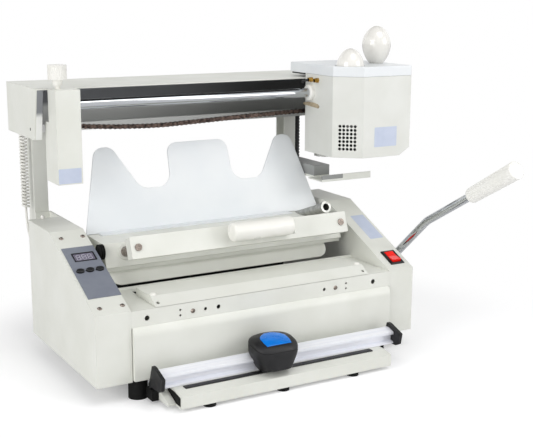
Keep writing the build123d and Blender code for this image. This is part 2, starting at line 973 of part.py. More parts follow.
# Control board under the panel, with a switch below each button and four spacers
with BuildPart() as control_board:
    board_left = left_out + 3 * cover_sheet
    board_right = -frame_out - 2 * cover_sheet
    board_low = panel_low + 8.0
    board_high = panel_high - 6.0
    board_x = (board_left + board_right) / 2
    board_y = (board_low + board_high) / 2
    with BuildSketch(spot(slant, board_x, board_y, -board_depth - board_sheet)):
        Rectangle(board_right - board_left, board_high - board_low)
    extrude(amount=board_sheet)
    for x in button_x:
        with BuildSketch(spot(slant, x, button_rise, -board_depth)):
            Rectangle(6.0, 6.0)
        extrude(amount=switch_height)
    spacer = 2.5
    for x in (board_left + spacer, board_right - spacer):
        for rise in (board_low + spacer, board_high - spacer):
            peg(spot(slant, x, rise), spacer, -board_depth, -cover_sheet)

# Push buttons, each held from below by its flange
buttons = []
for x in button_x:
    with BuildPart() as push_button:
        under = -cover_sheet - button_gap
        with BuildSketch(spot(slant, x, button_rise, under)):
            Ellipse(button_half_x, button_half_y)
        extrude(amount=panel_sheet + button_stand - under)
        top = push_button.faces().sort_by(Axis(slant.origin, slant.z_dir))[-1]
        fillet(top.edges(), 0.8)
        with BuildSketch(spot(slant, x, button_rise, under - button_flange)):
            Ellipse(button_half_x + 0.5, button_half_y + 1.2)
        extrude(amount=button_flange)
        stem_end = switch_height - board_depth + button_travel + button_gap
        peg(spot(slant, x, button_rise), 1.5, stem_end, under - button_flange)
    buttons.append(push_button)

# Rocker bezel on the right cabinet's slope
with BuildPart() as rocker_bezel:
    bezel = spot(slant, rocker_x, rocker_rise)
    with BuildSketch(bezel):
        Rectangle(bezel_width, bezel_length)
    extrude(amount=bezel_stand)
    chamfer(rocker_bezel.faces().sort_by(Axis(bezel.origin, bezel.z_dir))[-1].edges(), 0.8)
    with BuildSketch(bezel.offset(-bezel_depth)):
        Rectangle(bezel_hole_x, bezel_hole_y)
    extrude(amount=bezel_depth)
    with BuildSketch(bezel.offset(bezel_wall - bezel_depth)):
        Rectangle(bezel_hole_x - 2 * bezel_wall, bezel_hole_y - 2 * bezel_wall + 1.6)
    extrude(amount=bezel_depth + bezel_stand, mode=Mode.SUBTRACT)

# Power rocker, tilted to one of its two rest positions
with BuildPart() as power_rocker:
    pivot = spot(slant, rocker_x, rocker_rise, -rocker_pivot)
    rocker_face = pivot.rotated((-rocker_tilt, 0, 0))
    rocker_end = rocker_face.from_local_coords((-rocker_width / 2, 0, 0))
    across = Plane(origin=rocker_end, x_dir=rocker_face.y_dir, z_dir=(1, 0, 0))
    rocker_outline = [
        (-rocker_half, rocker_pivot + 3.4),
        (0, rocker_pivot + 2.2),
        (rocker_half, rocker_pivot + 3.4),
        (rocker_half, 1.0),
        (3.0, -5.0),
        (-3.0, -5.0),
        (-rocker_half, 1.0),
    ]
    prism(across, rocker_outline, rocker_width)

# Mains inlet in the right cabinet's back, a recess with three pins
with BuildPart() as mains_inlet:
    inlet_x_span = (inlet_x - inlet_width / 2, inlet_x + inlet_width / 2)
    inlet_z_span = (inlet_z - inlet_height / 2, inlet_z + inlet_height / 2)
    block(inlet_x_span, (cabinet_depth - inlet_depth, cabinet_depth), inlet_z_span)
    block(
        (inlet_x_span[0] - 2.0, inlet_x_span[1] + 2.0),
        (cabinet_depth, cabinet_depth + 2.0),
        (inlet_z_span[0] - 2.0, inlet_z_span[1] + 2.0),
    )
    block(
        (inlet_x_span[0] + 2.5, inlet_x_span[1] - 2.5),
        (cabinet_depth - inlet_depth + 4.0, cabinet_depth + 2.0),
        (inlet_z_span[0] + 2.5, inlet_z_span[1] - 2.5),
        Mode.SUBTRACT,
    )
    for x, z in ((-7.0, -1.5), (0.0, 1.5), (7.0, -1.5)):
        block(
            (inlet_x + x - 1.0, inlet_x + x + 1.0),
            (cabinet_depth - inlet_depth + 2.0, cabinet_depth - 3.0),
            (inlet_z + z - 2.0, inlet_z + z + 2.0),
        )

# Rear jaw, a folded sheet between two cheeks with trunnions, and two bushes for the guide bolts
jaw_slope = tan(lean)
jaw_front_y = clamp_y - jaw_face * cos(lean) - (clamp_z - jaw_bottom) * jaw_slope
jaw_front_top_y = clamp_y - jaw_face * cos(lean) + (jaw_top - clamp_z) * jaw_slope
with BuildPart() as rear_jaw:
    jaw_path = [
        (jaw_back, jaw_top),
        (jaw_front_top_y, jaw_top),
        (jaw_front_y, jaw_bottom),
        (jaw_lip_y, jaw_bottom - 1.5),
        (jaw_lip_y, jaw_lip),
    ]
    side_prism(folded(jaw_path, jaw_sheet), -jaw_half, jaw_half)
    cheek = jaw_path + [
        (jaw_lip_y + 12.0, jaw_lip),
        (trunnion_y + 12.0, trunnion_z - 10.0),
        (jaw_back, jaw_top - 7.0),
    ]
    for side in (-1, 1):
        side_prism(cheek, side * jaw_half, side * (jaw_half - 2 * jaw_sheet))
        bar(
            (side * (jaw_half - jaw_sheet), trunnion_y, trunnion_z),
            (side * frame_out, trunnion_y, trunnion_z),
            trunnion_radius,
        )
    for x in bolt_places:
        place = spot(clamp, x, bar_rise)
        peg(place, bolt_radius + bush_wall, -bush_depth, jaw_face + 2.0)
        peg(place, bolt_radius + bush_clearance, -bush_depth - 2.0, jaw_face + 4.0, Mode.SUBTRACT)
    peg(spot(clamp, stop_x, stop_rise), stop_radius, -back_face, stop_front, Mode.SUBTRACT)

# Spine plate below the jaw, bent forwards
with BuildPart() as spine_plate:
    flange_y = jaw_lip_y + jaw_sheet
    spine_path = [(88.0, 108.0), (97.0, 119.5), (flange_y, 121.5), (flange_y, 127.0)]
    side_prism(folded(spine_path, -jaw_sheet), spine_left, spine_right)
    corners = spine_plate.edges().filter_by(lambda edge: edge.length < 2 * jaw_sheet).group_by(Axis.Z)[0]
    fillet(corners, spine_corner)

# Backrest, a leaning sheet with three lobes, on a foot along the jaw's top
back_low = (jaw_top - clamp_z + (back_face + jaw_sheet) * sin(lean)) / cos(lean)
back_high = 136.9
valley = 82.0
lobe_radius = 13.5
valley_radius = 18.0
lobe_half = 42.0
lobe_foot = 44.5
outer_lobe_foot = 85.0
outer_lobe = (117.0, 139.0)
back_half = 165.0
with BuildPart() as backrest:
    half_outline = [
        (lobe_half, back_high),
        (lobe_foot, valley),
        (outer_lobe_foot, valley),
        (outer_lobe[0], back_high),
        (outer_lobe[1], back_high),
    ]
    right_side = [(back_centre + x, rise) for x, rise in half_outline]
    left_side = [(back_centre - x, rise) for x, rise in half_outline[::-1]]
    foot_corners = [(back_centre + back_half, back_low), (back_centre - back_half, back_low)]
    with BuildSketch(clamp.offset(-back_face - jaw_sheet)) as outline:
        with BuildLine():
            Polyline(*(right_side + foot_corners + left_side), close=True)
        make_face()
        fillet(outline.vertices().filter_by(lambda corner: abs(corner.Y - valley) < 1), valley_radius)
        fillet(outline.vertices().filter_by(lambda corner: abs(corner.Y - back_high) < 0.01), lobe_radius)
    extrude(amount=jaw_sheet)
    back_y = clamp_y + back_low * sin(lean) + back_face * cos(lean)
    block(
        (back_centre - 150.0, stop_x - 2 * stop_radius),
        (back_y - back_foot, back_y + jaw_sheet / 2),
        (jaw_top, jaw_top + jaw_sheet),
    )

# Stop tube, with a wider ring at its open front end
with BuildPart() as stop_tube:
    place = spot(clamp, stop_x, stop_rise)
    peg(place, stop_radius, -back_face, stop_front)
    peg(place, stop_ring, stop_front - 4.0, stop_front)
    peg(place, stop_bore, 0, stop_front, Mode.SUBTRACT)

# Rubber bumper on the jaw's left cheek
with BuildPart() as bumper:
    bar((-jaw_half, bumper_y, bumper_z), (-jaw_half - bumper_width, bumper_y, bumper_z), bumper_radius)
    for share in (0.3, 0.7):
        x = -jaw_half - share * bumper_width
        ring = Plane(origin=(x, bumper_y, bumper_z), x_dir=(0, 1, 0), z_dir=(1, 0, 0))
        with BuildSketch(ring):
            Circle(2 * bumper_radius)
            Circle(bumper_radius - 1.0, mode=Mode.SUBTRACT)
        extrude(amount=0.6, both=True, mode=Mode.SUBTRACT)

# Front jaw bar, with the stud that the lock lever turns on
bar_back = bar_front - bar_thickness
bar_plane = spot(clamp, bar_centre, bar_rise)
with BuildPart() as jaw_bar:
    with BuildSketch(bar_plane.offset(bar_back)):
        RectangleRounded(bar_length, bar_height, 1.5)
    extrude(amount=bar_thickness)
    for x in bolt_places:
        peg(spot(clamp, x, bar_rise), bolt_shank, bar_back, bar_front, Mode.SUBTRACT)
    stud_top = bar_front + plate_gap + lock_plate + plate_gap
    peg(bar_plane, stud_radius, bar_front, stud_top)
    peg(bar_plane, stud_head, stud_top, stud_top + stud_head_height)

# Guide bolts with slotted heads
with BuildPart() as jaw_rods:
    for x in bolt_places:
        place = spot(clamp, x, bar_rise)
        peg(place, bolt_radius, -bolt_back, bar_back)
        peg(place, bolt_shank, bar_back, bar_front)
        peg(place, bolt_head, bar_front, bar_front + bolt_head_height)
        with Locations(place.offset(bar_front + bolt_head_height)):
            Box(2 * bolt_head, bolt_slot, bolt_head_height, mode=Mode.SUBTRACT)

# Lock lever, a plate on the bar's front with a tab that carries the grip's spindle
plate_front = bar_front + plate_gap + lock_plate
with BuildPart() as lock_lever:
    with BuildSketch(clamp.offset(bar_front + plate_gap)):
        with Locations(((lock_left + lock_right) / 2, (lock_low + lock_high) / 2)):
            RectangleRounded(lock_right - lock_left, lock_high - lock_low, 3.0)
    extrude(amount=lock_plate)
    with BuildSketch(clamp.offset(bar_front + plate_gap)):
        with Locations((lock_right - lock_plate / 2, (lock_low + lock_high) / 2)):
            Rectangle(lock_plate, lock_high - lock_low)
    extrude(amount=lock_grip_face + lock_spindle * 2 - bar_front)
    peg(bar_plane, stud_radius + bush_clearance, bar_front, plate_front + 1.0, Mode.SUBTRACT)
    spindle_start = clamp.from_local_coords((lock_grip_left + 12.0, lock_grip_rise, lock_grip_face))
    spindle_end = clamp.from_local_coords((lock_right - lock_plate, lock_grip_rise, lock_grip_face))
    bar(spindle_start, spindle_end, lock_spindle)

# Lock grip, a round sleeve on the spindle
with BuildPart() as lock_grip:
    grip_start = clamp.from_local_coords((lock_grip_left, lock_grip_rise, lock_grip_face))
    grip_end = clamp.from_local_coords((lock_right - lock_plate, lock_grip_rise, lock_grip_face))
    bar(grip_start, grip_end, lock_grip_radius)
    fillet(lock_grip.edges().sort_by(Axis.X)[0], 3.5)
    fillet(lock_grip.edges().sort_by(Axis.X)[-1], 1.0)
    bar(spindle_start, spindle_end, lock_spindle, Mode.SUBTRACT)

# Nip bar, a folded cover with closed ends and a leg down through each slot of the table
with BuildPart() as nip_bar:
    nip_low = table_height + nip_gap
    nip_half = nip_length / 2
    nip_path = [(nip_back, nip_low), (nip_back, nip_top), (nip_ridge, nip_top), (nip_front, nip_low)]
    side_prism(folded(nip_path, nip_sheet), -nip_half, nip_half)
    for side in (-1, 1):
        side_prism(nip_path, side * nip_half, side * (nip_half - nip_sheet))
    block((-nip_half, nip_half), (nip_front - 9, nip_back), (nip_low - 5, nip_low), Mode.SUBTRACT)
    for side in (-1, 1):
        leg = (side * leg_x, side * (leg_x + leg_width))
        block(leg, (leg_front, leg_back), (leg_bottom, nip_top - nip_sheet))
        block(leg, (leg_front, shaft_y + leg_foot / 2), (leg_bottom, leg_bottom + leg_foot))
        pin_z = shaft_z - arm_reach
        bar((side * (arm_x - 1.0), shaft_y, pin_z), (side * (leg_x + 1.0), shaft_y, pin_z), pin_radius)
        slope = atan2(nip_top - nip_low, nip_ridge - nip_front)
        ramp = Plane(
            origin=(side * 137.5, 7.0, nip_low + 6.0 * tan(slope)),
            x_dir=(1, 0, 0),
            z_dir=(0, -sin(slope), cos(slope)),
        )
        peg(ramp, 2.0, -2 * nip_sheet, nip_sheet, Mode.SUBTRACT)
        hole = Plane.XY.move(Location((side * nip_screw_x, nip_screw_y, nip_top)))
        peg(hole, screw_shank, -2 * nip_sheet, 1, Mode.SUBTRACT)

# White screws on the nip bar
with BuildPart() as nip_screws:
    for side in (-1, 1):
        place = Plane.XY.move(Location((side * nip_screw_x, nip_screw_y, nip_top)))
        screw(place, nip_screw_head, screw_shank, nip_screw_length)

# Lever shaft, with a slotted arm down to each leg's pin
with BuildPart() as lever_shaft:
    bar((-frame_out - 2.0, shaft_y, shaft_z), (lever_x + lever_hub_width / 2, shaft_y, shaft_z), shaft_radius)
    arm_end = shaft_z - pin_slot_centre - pin_slot_run / 2 - pin_slot / 2 - 2.0
    for side in (-1, 1):
        bar((side * arm_x, shaft_y, shaft_z), (side * (arm_x + arm_sheet), shaft_y, shaft_z), arm_hub)
        block(
            (side * arm_x, side * (arm_x + arm_sheet)),
            (shaft_y - arm_width / 2, shaft_y + arm_width / 2),
            (arm_end, shaft_z),
        )
        with BuildSketch(Plane.YZ.offset(side * (arm_x - 1.0))):
            with Locations((shaft_y, shaft_z - pin_slot_centre)):
                SlotCenterToCenter(pin_slot_run, pin_slot, rotation=90)
        extrude(amount=side * (arm_sheet + 2.0), mode=Mode.SUBTRACT)

# Lever rod, bent once, with a hub on the shaft's end
grip_dir = (-cos(radians(grip_bend)), sin(radians(grip_bend)))
rod_tip = (grip_base[0] + grip_bore * grip_dir[0], grip_base[1] + grip_bore * grip_dir[1])
with BuildPart() as lever_rod:
    with BuildLine(lever_plane) as route:
        FilletPolyline((shaft_y, shaft_z), lever_bend, rod_tip, radius=lever_bend_radius)
    with BuildSketch(Plane(origin=route.line @ 0, z_dir=route.line % 0)):
        Circle(lever_radius)
    sweep(path=route.line)
    hub_half = lever_hub_width / 2
    bar((lever_x - hub_half, shaft_y, shaft_z), (lever_x + hub_half, shaft_y, shaft_z), lever_hub_radius)
    bar(
        (lever_x - 2 * hub_half, shaft_y, shaft_z),
        (lever_x + hub_half, shaft_y, shaft_z),
        shaft_radius,
        Mode.SUBTRACT,
    )

# Lever grip, a tapered sleeve
with BuildPart() as lever_grip:
    grip_way = route.line % 1
    grip_start = route.line @ 1 - grip_way * grip_bore
    grip_plane = Plane(origin=grip_start, z_dir=grip_way)
    with Locations(grip_plane):
        Cone(grip_small, grip_large, grip_length, align=(Align.CENTER, Align.CENTER, Align.MIN))
    fillet(lever_grip.edges().filter_by(GeomType.CIRCLE).sort_by(Axis.Y)[-1], 4.0)
    fillet(lever_grip.edges().filter_by(GeomType.CIRCLE).sort_by(Axis.Y)[0], 1.0)
    peg(grip_plane, lever_radius, 0, grip_bore, Mode.SUBTRACT)

# Carriage shell, open at the top, with vents, a ledge for the lid's hinge, and bosses
chamfer_way = Vector(car_cut_x - car_left, car_front - car_cut_y, 0).normalized()
vent_plane = Plane(
    origin=((car_left + car_cut_x) / 2, (car_front + car_cut_y) / 2, vent_z),
    x_dir=chamfer_way,
    z_dir=(chamfer_way.Y, -chamfer_way.X, 0),
)
corner_cut = [
    (car_corner_x, car_bottom),
    (car_right, car_corner_z),
    (car_right + 1.0, car_bottom - 1.0),
    (car_corner_x, car_bottom - 1.0),
]
with BuildPart() as carriage_shell:
    prism(Plane.XY.offset(car_bottom), car_plan, car_top - car_bottom)
    prism(Plane.XZ.offset(-car_back - 1.0), corner_cut, car_back - car_front + 2.0, Mode.SUBTRACT)
    offset(amount=-car_sheet, openings=carriage_shell.faces().sort_by(Axis.Z)[-1], kind=Kind.INTERSECTION)
    block(
        (car_left + car_sheet, car_right - car_sheet),
        (car_back - car_sheet, ledge_back),
        (car_top - ledge_sheet, car_top),
    )
    with BuildSketch(vent_plane.offset(-2 * car_sheet)):
        with GridLocations(vent_pitch, vent_pitch, 5, 7):
            Circle(vent_radius)
    extrude(amount=3 * car_sheet, mode=Mode.SUBTRACT)
    for start, end in ((car_left, car_left + car_sheet), (car_right - car_sheet, car_right)):
        bar((start, rod_y, rod_z), (end, rod_y, rod_z), barrel_radius, Mode.SUBTRACT)
    for y in (gland_front_y, gland_back_y):
        bar((car_left, y, gland_z), (car_left + car_sheet, y, gland_z), gland_bore + 1.0, Mode.SUBTRACT)
    bar((roller_x, wheel_boss_front, wheel_z), (roller_x, car_back, wheel_z), wheel_boss)
    bar(
        (roller_x, wheel_boss_front, wheel_z),
        (roller_x, car_back, wheel_z),
        wheel_shaft + rod_clearance,
        Mode.SUBTRACT,
    )
    bar((lift_x, lift_y, car_bottom), (lift_x, lift_y, lift_boss_top), lift_boss)
    bar(
        (lift_x, lift_y, car_bottom + car_sheet),
        (lift_x, lift_y, lift_boss_top),
        lift_rod + rod_clearance,
        Mode.SUBTRACT,
    )
    bar(
        (motor_x, motor_y, car_bottom),
        (motor_x, motor_y, car_bottom + car_sheet),
        cutter_radius + cutter_gap,
        Mode.SUBTRACT,
    )
    slot_half = sqrt(roller_radius**2 - (roller_z - car_bottom - car_sheet) ** 2) + roller_gap
    block(
        (roller_x - slot_half, roller_x + slot_half),
        (tank_front + tank_wall, tank_back - tank_wall),
        (car_bottom, car_bottom + car_sheet),
        Mode.SUBTRACT,
    )
    block(
        (hinge_middle_left, hinge_middle_right),
        (ledge_back - 2.0, hinge_y),
        (car_top - ledge_sheet, car_top),
    )
    block(
        (hinge_middle_left, hinge_middle_right),
        (hinge_y - 2.4, hinge_y + 2.0),
        (car_top - ledge_sheet, hinge_z),
    )
    bar((hinge_middle_left, hinge_y, hinge_z), (hinge_middle_right, hinge_y, hinge_z), hinge_barrel)
    bar((hinge_left, hinge_y, hinge_z), (hinge_right, hinge_y, hinge_z), hinge_pin)

# Carriage lid, a shallow tray over the shell, hinged at its back
with BuildPart() as carriage_lid:
    prism(Plane.XY.offset(lid_bottom), lid_plan, lid_top - lid_bottom)
    offset(amount=-car_sheet, openings=carriage_lid.faces().sort_by(Axis.Z)[0], kind=Kind.INTERSECTION)
    fillet(carriage_lid.faces().sort_by(Axis.Z)[-1].outer_wire().edges(), 1.2)
    bar(
        (lift_x, lift_y, lid_top - 2 * car_sheet),
        (lift_x, lift_y, lid_top),
        lift_radius + lift_hole,
        Mode.SUBTRACT,
    )
    bar((knob_x, knob_y, lid_top - 2 * car_sheet), (knob_x, knob_y, lid_top), 3.0, Mode.SUBTRACT)
    spans = ((hinge_left, hinge_middle_left - hinge_play), (hinge_middle_right + hinge_play, hinge_right))
    for span in spans:
        block(span, (lid_back - car_sheet, hinge_y), (hinge_z - 1.5, hinge_z + hinge_barrel))
        bar((span[0], hinge_y, hinge_z), (span[1], hinge_y, hinge_z), hinge_barrel)
    bar(
        (hinge_left, hinge_y, hinge_z),
        (hinge_right, hinge_y, hinge_z),
        hinge_pin + bush_clearance,
        Mode.SUBTRACT,
    )

# Egg knob on the lid, with its stud
with BuildPart() as lid_knob:
    egg(knob_x, knob_y, lid_top, knob_radius, knob_foot)
    bar((knob_x, knob_y, lid_top - 6.0), (knob_x, knob_y, lid_top), 3.0)

# Sprung plunger with its own egg knob
with BuildPart() as lift_plunger:
    egg(lift_x, lift_y, lift_bottom, lift_radius, knob_foot)
    bar((lift_x, lift_y, lift_end), (lift_x, lift_y, lift_bottom), lift_rod)

# Plunger spring, from the boss to the knob's underside
with BuildPart() as lift_spring:
    span = lift_bottom - lift_boss_top
    pitch = (span - 4 * spring_wire - 2 * spring_radius) / spring_turns
    coil(lift_x, lift_y, lift_boss_top, spring_radius, pitch, spring_turns, spring_wire)

# Flanged bushes that run on the guide rod
with BuildPart() as rod_bushes:
    for side, face in ((-1, car_left), (1, car_right)):
        bar((face + side * flange_width, rod_y, rod_z), (face, rod_y, rod_z), flange_radius)
        bar((face, rod_y, rod_z), (face - side * barrel_depth, rod_y, rod_z), barrel_radius)
    fillet(rod_bushes.edges().filter_by(GeomType.CIRCLE).sort_by(Axis.X)[0], 2.0)
    fillet(rod_bushes.edges().filter_by(GeomType.CIRCLE).sort_by(Axis.X)[-1], 2.0)
    bar(
        (car_left - 2 * flange_width, rod_y, rod_z),
        (car_right + 2 * flange_width, rod_y, rod_z),
        rod_radius + rod_clearance,
        Mode.SUBTRACT,
    )

# Brass cable glands in the carriage's left wall
with BuildPart() as cable_glands:
    for y in (gland_front_y, gland_back_y):
        face = Plane(origin=(car_left, y, gland_z), x_dir=(0, 1, 0), z_dir=(-1, 0, 0))
        with BuildSketch(face):
            RegularPolygon(gland_radius, 6)
        extrude(amount=gland_length / 2)
        peg(face, gland_radius * 0.8, gland_length / 2, gland_length)
        peg(face, gland_bore + 1.0, -4 * car_sheet, 0)
        peg(face, gland_bore, -5 * car_sheet, 2 * gland_length, Mode.SUBTRACT)

# Glue tank, open at the top, with a slot that the roller closes
with BuildPart() as glue_tank:
    block((tank_left, tank_right), (tank_front, tank_back), (tank_bottom, tank_top))
    block(
        (tank_left + tank_wall, tank_right - tank_wall),
        (tank_front + tank_wall, tank_back - tank_wall),
        (tank_bottom + tank_wall, tank_top),
        Mode.SUBTRACT,
    )
    throat = sqrt(roller_radius**2 - (roller_z - tank_bottom - tank_wall) ** 2) + roller_gap
    block(
        (roller_x - throat, roller_x + throat),
        (tank_front + tank_wall, tank_back - tank_wall),
        (tank_bottom, tank_bottom + tank_wall),
        Mode.SUBTRACT,
    )
    bar(
        (roller_x, tank_front, roller_z),
        (roller_x, tank_back, roller_z),
        roller_shaft + rod_clearance,
        Mode.SUBTRACT,
    )
    for x in (tank_left + tank_wall, tank_right - tank_wall):
        for y in (tank_front + tank_wall, tank_back - tank_wall):
            bar((x, y, car_bottom + car_sheet), (x, y, tank_bottom), 2.5)

# Heater plate on the tank's right wall, with two terminals
with BuildPart() as heater_plate:
    block(
        (tank_right, tank_right + heater_thickness),
        (tank_front + 4, tank_back - 4),
        (tank_bottom + 4, tank_top - 5),
    )
    for y in (tank_front + 12, tank_back - 12):
        x = tank_right + heater_thickness
        bar((x, y, tank_top - 12), (x + 6.0, y, tank_top - 12), 1.8)

# Glue roller, with its shaft and pulley
with BuildPart() as glue_roller:
    roller_front = tank_front + tank_wall + roller_gap
    roller_back = tank_back - tank_wall - roller_gap
    bar((roller_x, roller_front, roller_z), (roller_x, roller_back, roller_z), roller_radius)
    bar((roller_x, tank_front, roller_z), (roller_x, pulley_front + pulley_width, roller_z), roller_shaft)
    bar((roller_x, pulley_front, roller_z), (roller_x, pulley_front + pulley_width, roller_z), pulley_radius)

# Toothed wheel above the chain, with its shaft and pulley
with BuildPart() as chain_wheel:
    with BuildSketch(Plane.XZ.offset(-chain_y - wheel_width / 2)):
        with Locations((roller_x, wheel_z)):
            Circle(wheel_root)
            with PolarLocations((wheel_root + wheel_tip) / 2, wheel_teeth, start_angle=15):
                Trapezoid(wheel_tooth, wheel_tip - wheel_root + 0.8, 66, rotation=-90)
    extrude(amount=wheel_width)
    bar((roller_x, pulley_front, wheel_z), (roller_x, chain_y + 2 * wheel_width, wheel_z), wheel_shaft)
    bar((roller_x, pulley_front, wheel_z), (roller_x, pulley_front + pulley_width, wheel_z), pulley_radius)

# Belt between the two pulleys
with BuildPart() as roller_belt:
    with BuildSketch(Plane.XZ.offset(-pulley_front - (pulley_width + belt_width) / 2)):
        with Locations((roller_x, (roller_z + wheel_z) / 2)):
            reach = wheel_z - roller_z
            inner = 2 * (pulley_radius + belt_gap)
            SlotCenterToCenter(reach, inner + 2 * belt_thickness, rotation=90)
            SlotCenterToCenter(reach, inner, rotation=90, mode=Mode.SUBTRACT)
    extrude(amount=belt_width)

# Cutter motor, standing on the shell's floor over the cutter's opening
with BuildPart() as cutter_motor:
    floor = car_bottom + car_sheet
    bar((motor_x, motor_y, floor), (motor_x, motor_y, floor + motor_flange_height), motor_flange)
    bar((motor_x, motor_y, floor), (motor_x, motor_y, motor_top), motor_radius)
    bar(
        (motor_x, motor_y, floor),
        (motor_x, motor_y, floor + spindle_depth + 1.0),
        spindle_radius + rod_clearance,
        Mode.SUBTRACT,
    )

# Milling cutter, a toothed disc on the motor's spindle
with BuildPart() as milling_cutter:
    with BuildSketch(Plane.XY.offset(cutter_bottom)):
        with Locations((motor_x, motor_y)):
            Circle(cutter_radius)
            with PolarLocations(cutter_radius, cutter_teeth):
                Rectangle(4.0, 2.4, rotation=25, mode=Mode.SUBTRACT)
    extrude(amount=cutter_height)
    bar((motor_x, motor_y, cutter_bottom), (motor_x, motor_y, floor + spindle_depth), spindle_radius)

# Adjusting dial on its screw
with BuildPart() as adjust_knob:
    bar((adjust_x, adjust_y, screw_end), (adjust_x, adjust_y, collar_bottom), screw_radius)
    bar((adjust_x, adjust_y, collar_bottom), (adjust_x, adjust_y, dial_bottom), collar_radius)
    with BuildSketch(Plane.XY.offset(dial_bottom)):
        with Locations((adjust_x, adjust_y)):
            Circle(dial_radius)
            with PolarLocations(dial_radius, dial_grooves):
                Circle(0.55, mode=Mode.SUBTRACT)
    extrude(amount=dial_top - dial_bottom)

# Scraper block that the dial's screw raises and lowers inside the box
with BuildPart() as scraper_block:
    inner_left = box_left + cover_sheet + scraper_gap
    inner_right = box_right - cover_sheet - scraper_gap
    scraper_front = box_front + cover_sheet + scraper_gap
    block((inner_left, inner_right), (scraper_front, beam_front), (scraper_bottom + 8.0, scraper_top))
    blade_front = scraper_front + 8.0
    block((inner_left, inner_right), (blade_front, blade_front + 3.0), (scraper_bottom, scraper_top))
    bar(
        (adjust_x, adjust_y, scraper_bottom),
        (adjust_x, adjust_y, scraper_top),
        screw_radius + rod_clearance,
        Mode.SUBTRACT,
    )

# Creaser base, hollow and open at its ends
with BuildPart() as creaser_base:
    side_prism(crease_profile, crease_left, crease_right)
    with BuildSketch(Plane.YZ.offset(crease_left)):
        with BuildLine():
            Polyline(*crease_profile, close=True)
        make_face()
        offset(amount=-crease_sheet, kind=Kind.INTERSECTION)
    extrude(amount=crease_right - crease_left, mode=Mode.SUBTRACT)

# Black creasing strip along the base's top
strip_left = -129.0
strip_right = 119.0
strip_front_y = -43.5
strip_back_y = -36.0
bevel_slope = (crease_top - crease_edge) / (crease_bevel - crease_front)
with BuildPart() as creaser_strip:
    strip_front_z = crease_top + (strip_front_y - crease_bevel) * bevel_slope
    strip_outline = [
        (strip_front_y, strip_front_z),
        (crease_bevel, crease_top),
        (strip_back_y, crease_top),
        (strip_back_y, crease_top + crease_strip),
        (crease_bevel, crease_top + crease_strip),
        (strip_front_y, strip_front_z + crease_strip),
    ]
    side_prism(strip_outline, strip_left, strip_right)

# Arms that tie the creaser to the base pan and carry the rail's pins
arm_outline = [
    (-43.0, crease_foot),
    (-43.0, 7.5),
    (-24.0, 15.0),
    (-17.5, 20.0),
    (-17.5, 24.5),
    (-6.5, 24.5),
    (-6.5, foot_height),
    (60.0, foot_height),
    (60.0, foot_height - 3.0),
    (-4.0, foot_height - 3.0),
    (-8.0, crease_foot),
]
with BuildPart() as creaser_arms:
    side_prism(arm_outline, arm_left, arm_left - arm_plate)
    side_prism(arm_outline, arm_right, arm_right + arm_plate)
    bar(
        (arm_left - arm_plate, rail_pin_y, rail_pin_z),
        (arm_right + arm_plate, rail_pin_y, rail_pin_z),
        rail_pin + bush_clearance,
        Mode.SUBTRACT,
    )

# Aluminium rail over the creaser base
rail_outline = [
    (-19.0, 39.5),
    (-23.0, 39.5),
    (-33.0, 36.4),
    (-33.0, 33.0),
    (-27.5, 31.0),
    (-27.5, 25.0),
    (-33.0, 23.5),
    (-33.0, crease_top + wheel_play),
    (-19.0, crease_top + wheel_play),
]
with BuildPart() as creaser_rail:
    side_prism(rail_outline, rail_left, rail_right)

# Rail end caps, each with a pin in its arm
cap_outline = [
    (-19.0, 44.5),
    (-24.0, 44.5),
    (-46.0, 37.0),
    (-43.5, 23.5),
    (-38.0, 20.5),
    (-13.0, 19.0),
    (-10.5, 22.5),
    (-13.0, 27.0),
]
with BuildPart() as rail_caps:
    for side, face, arm_face in ((-1, rail_left, arm_left), (1, rail_right, arm_right)):
        side_prism(cap_outline, face, face + side * cap_width)
        bar((face + side * cap_width, rail_pin_y, rail_pin_z), (face, rail_pin_y, rail_pin_z), rail_pin + 0.9)
        bar((face, rail_pin_y, rail_pin_z), (arm_face, rail_pin_y, rail_pin_z), rail_pin)

# Creaser head that slides along the rail
with BuildPart() as creaser_head:
    front_outline = [
        (head_x - head_low_half, head_bottom),
        (head_x + head_low_half, head_bottom),
        (head_x + head_half, head_waist),
        (head_x + head_half, head_top),
        (head_x - head_half, head_top),
        (head_x - head_half, head_waist),
    ]
    prism(Plane.XZ.offset(-head_back), front_outline, head_back - head_front)
    slope_cut = [(head_front - 1, head_lip), (head_ridge_y, head_top + 0.5), (head_front - 1, head_top + 0.5)]
    side_prism(slope_cut, head_x - head_half, head_x + head_half, Mode.SUBTRACT)
    fillet(creaser_head.edges().filter_by(Axis.Y).group_by(Axis.Z)[-1], 4.0)
    with BuildSketch(Plane.YZ.offset(head_x - head_half - 1)):
        with BuildLine():
            Polyline(*rail_outline, close=True)
        make_face()
        offset(amount=head_play, kind=Kind.INTERSECTION)
    extrude(amount=2 * head_half + 2, mode=Mode.SUBTRACT)
    block((head_x - head_half, head_x + head_half), (-33.0, -19.0), (head_bottom - 1, 24.0), Mode.SUBTRACT)
    block(
        (head_x - head_half, head_x + head_half),
        (head_front - 1, crease_wheel_front),
        (head_bottom - 1, head_skirt),
        Mode.SUBTRACT,
    )
    wheel_centre = crease_top + crease_strip + wheel_play + crease_wheel
    block(
        (head_x - crease_wheel - 1, head_x + crease_wheel + 1),
        (crease_wheel_front - 0.5, crease_wheel_back + 0.5),
        (head_bottom - 1, wheel_centre + crease_wheel + 1),
        Mode.SUBTRACT,
    )
    bar(
        (head_x, crease_wheel_front - 6.0, wheel_centre),
        (head_x, crease_wheel_back + 5.0, wheel_centre),
        2.0 + bush_clearance,
        Mode.SUBTRACT,
    )

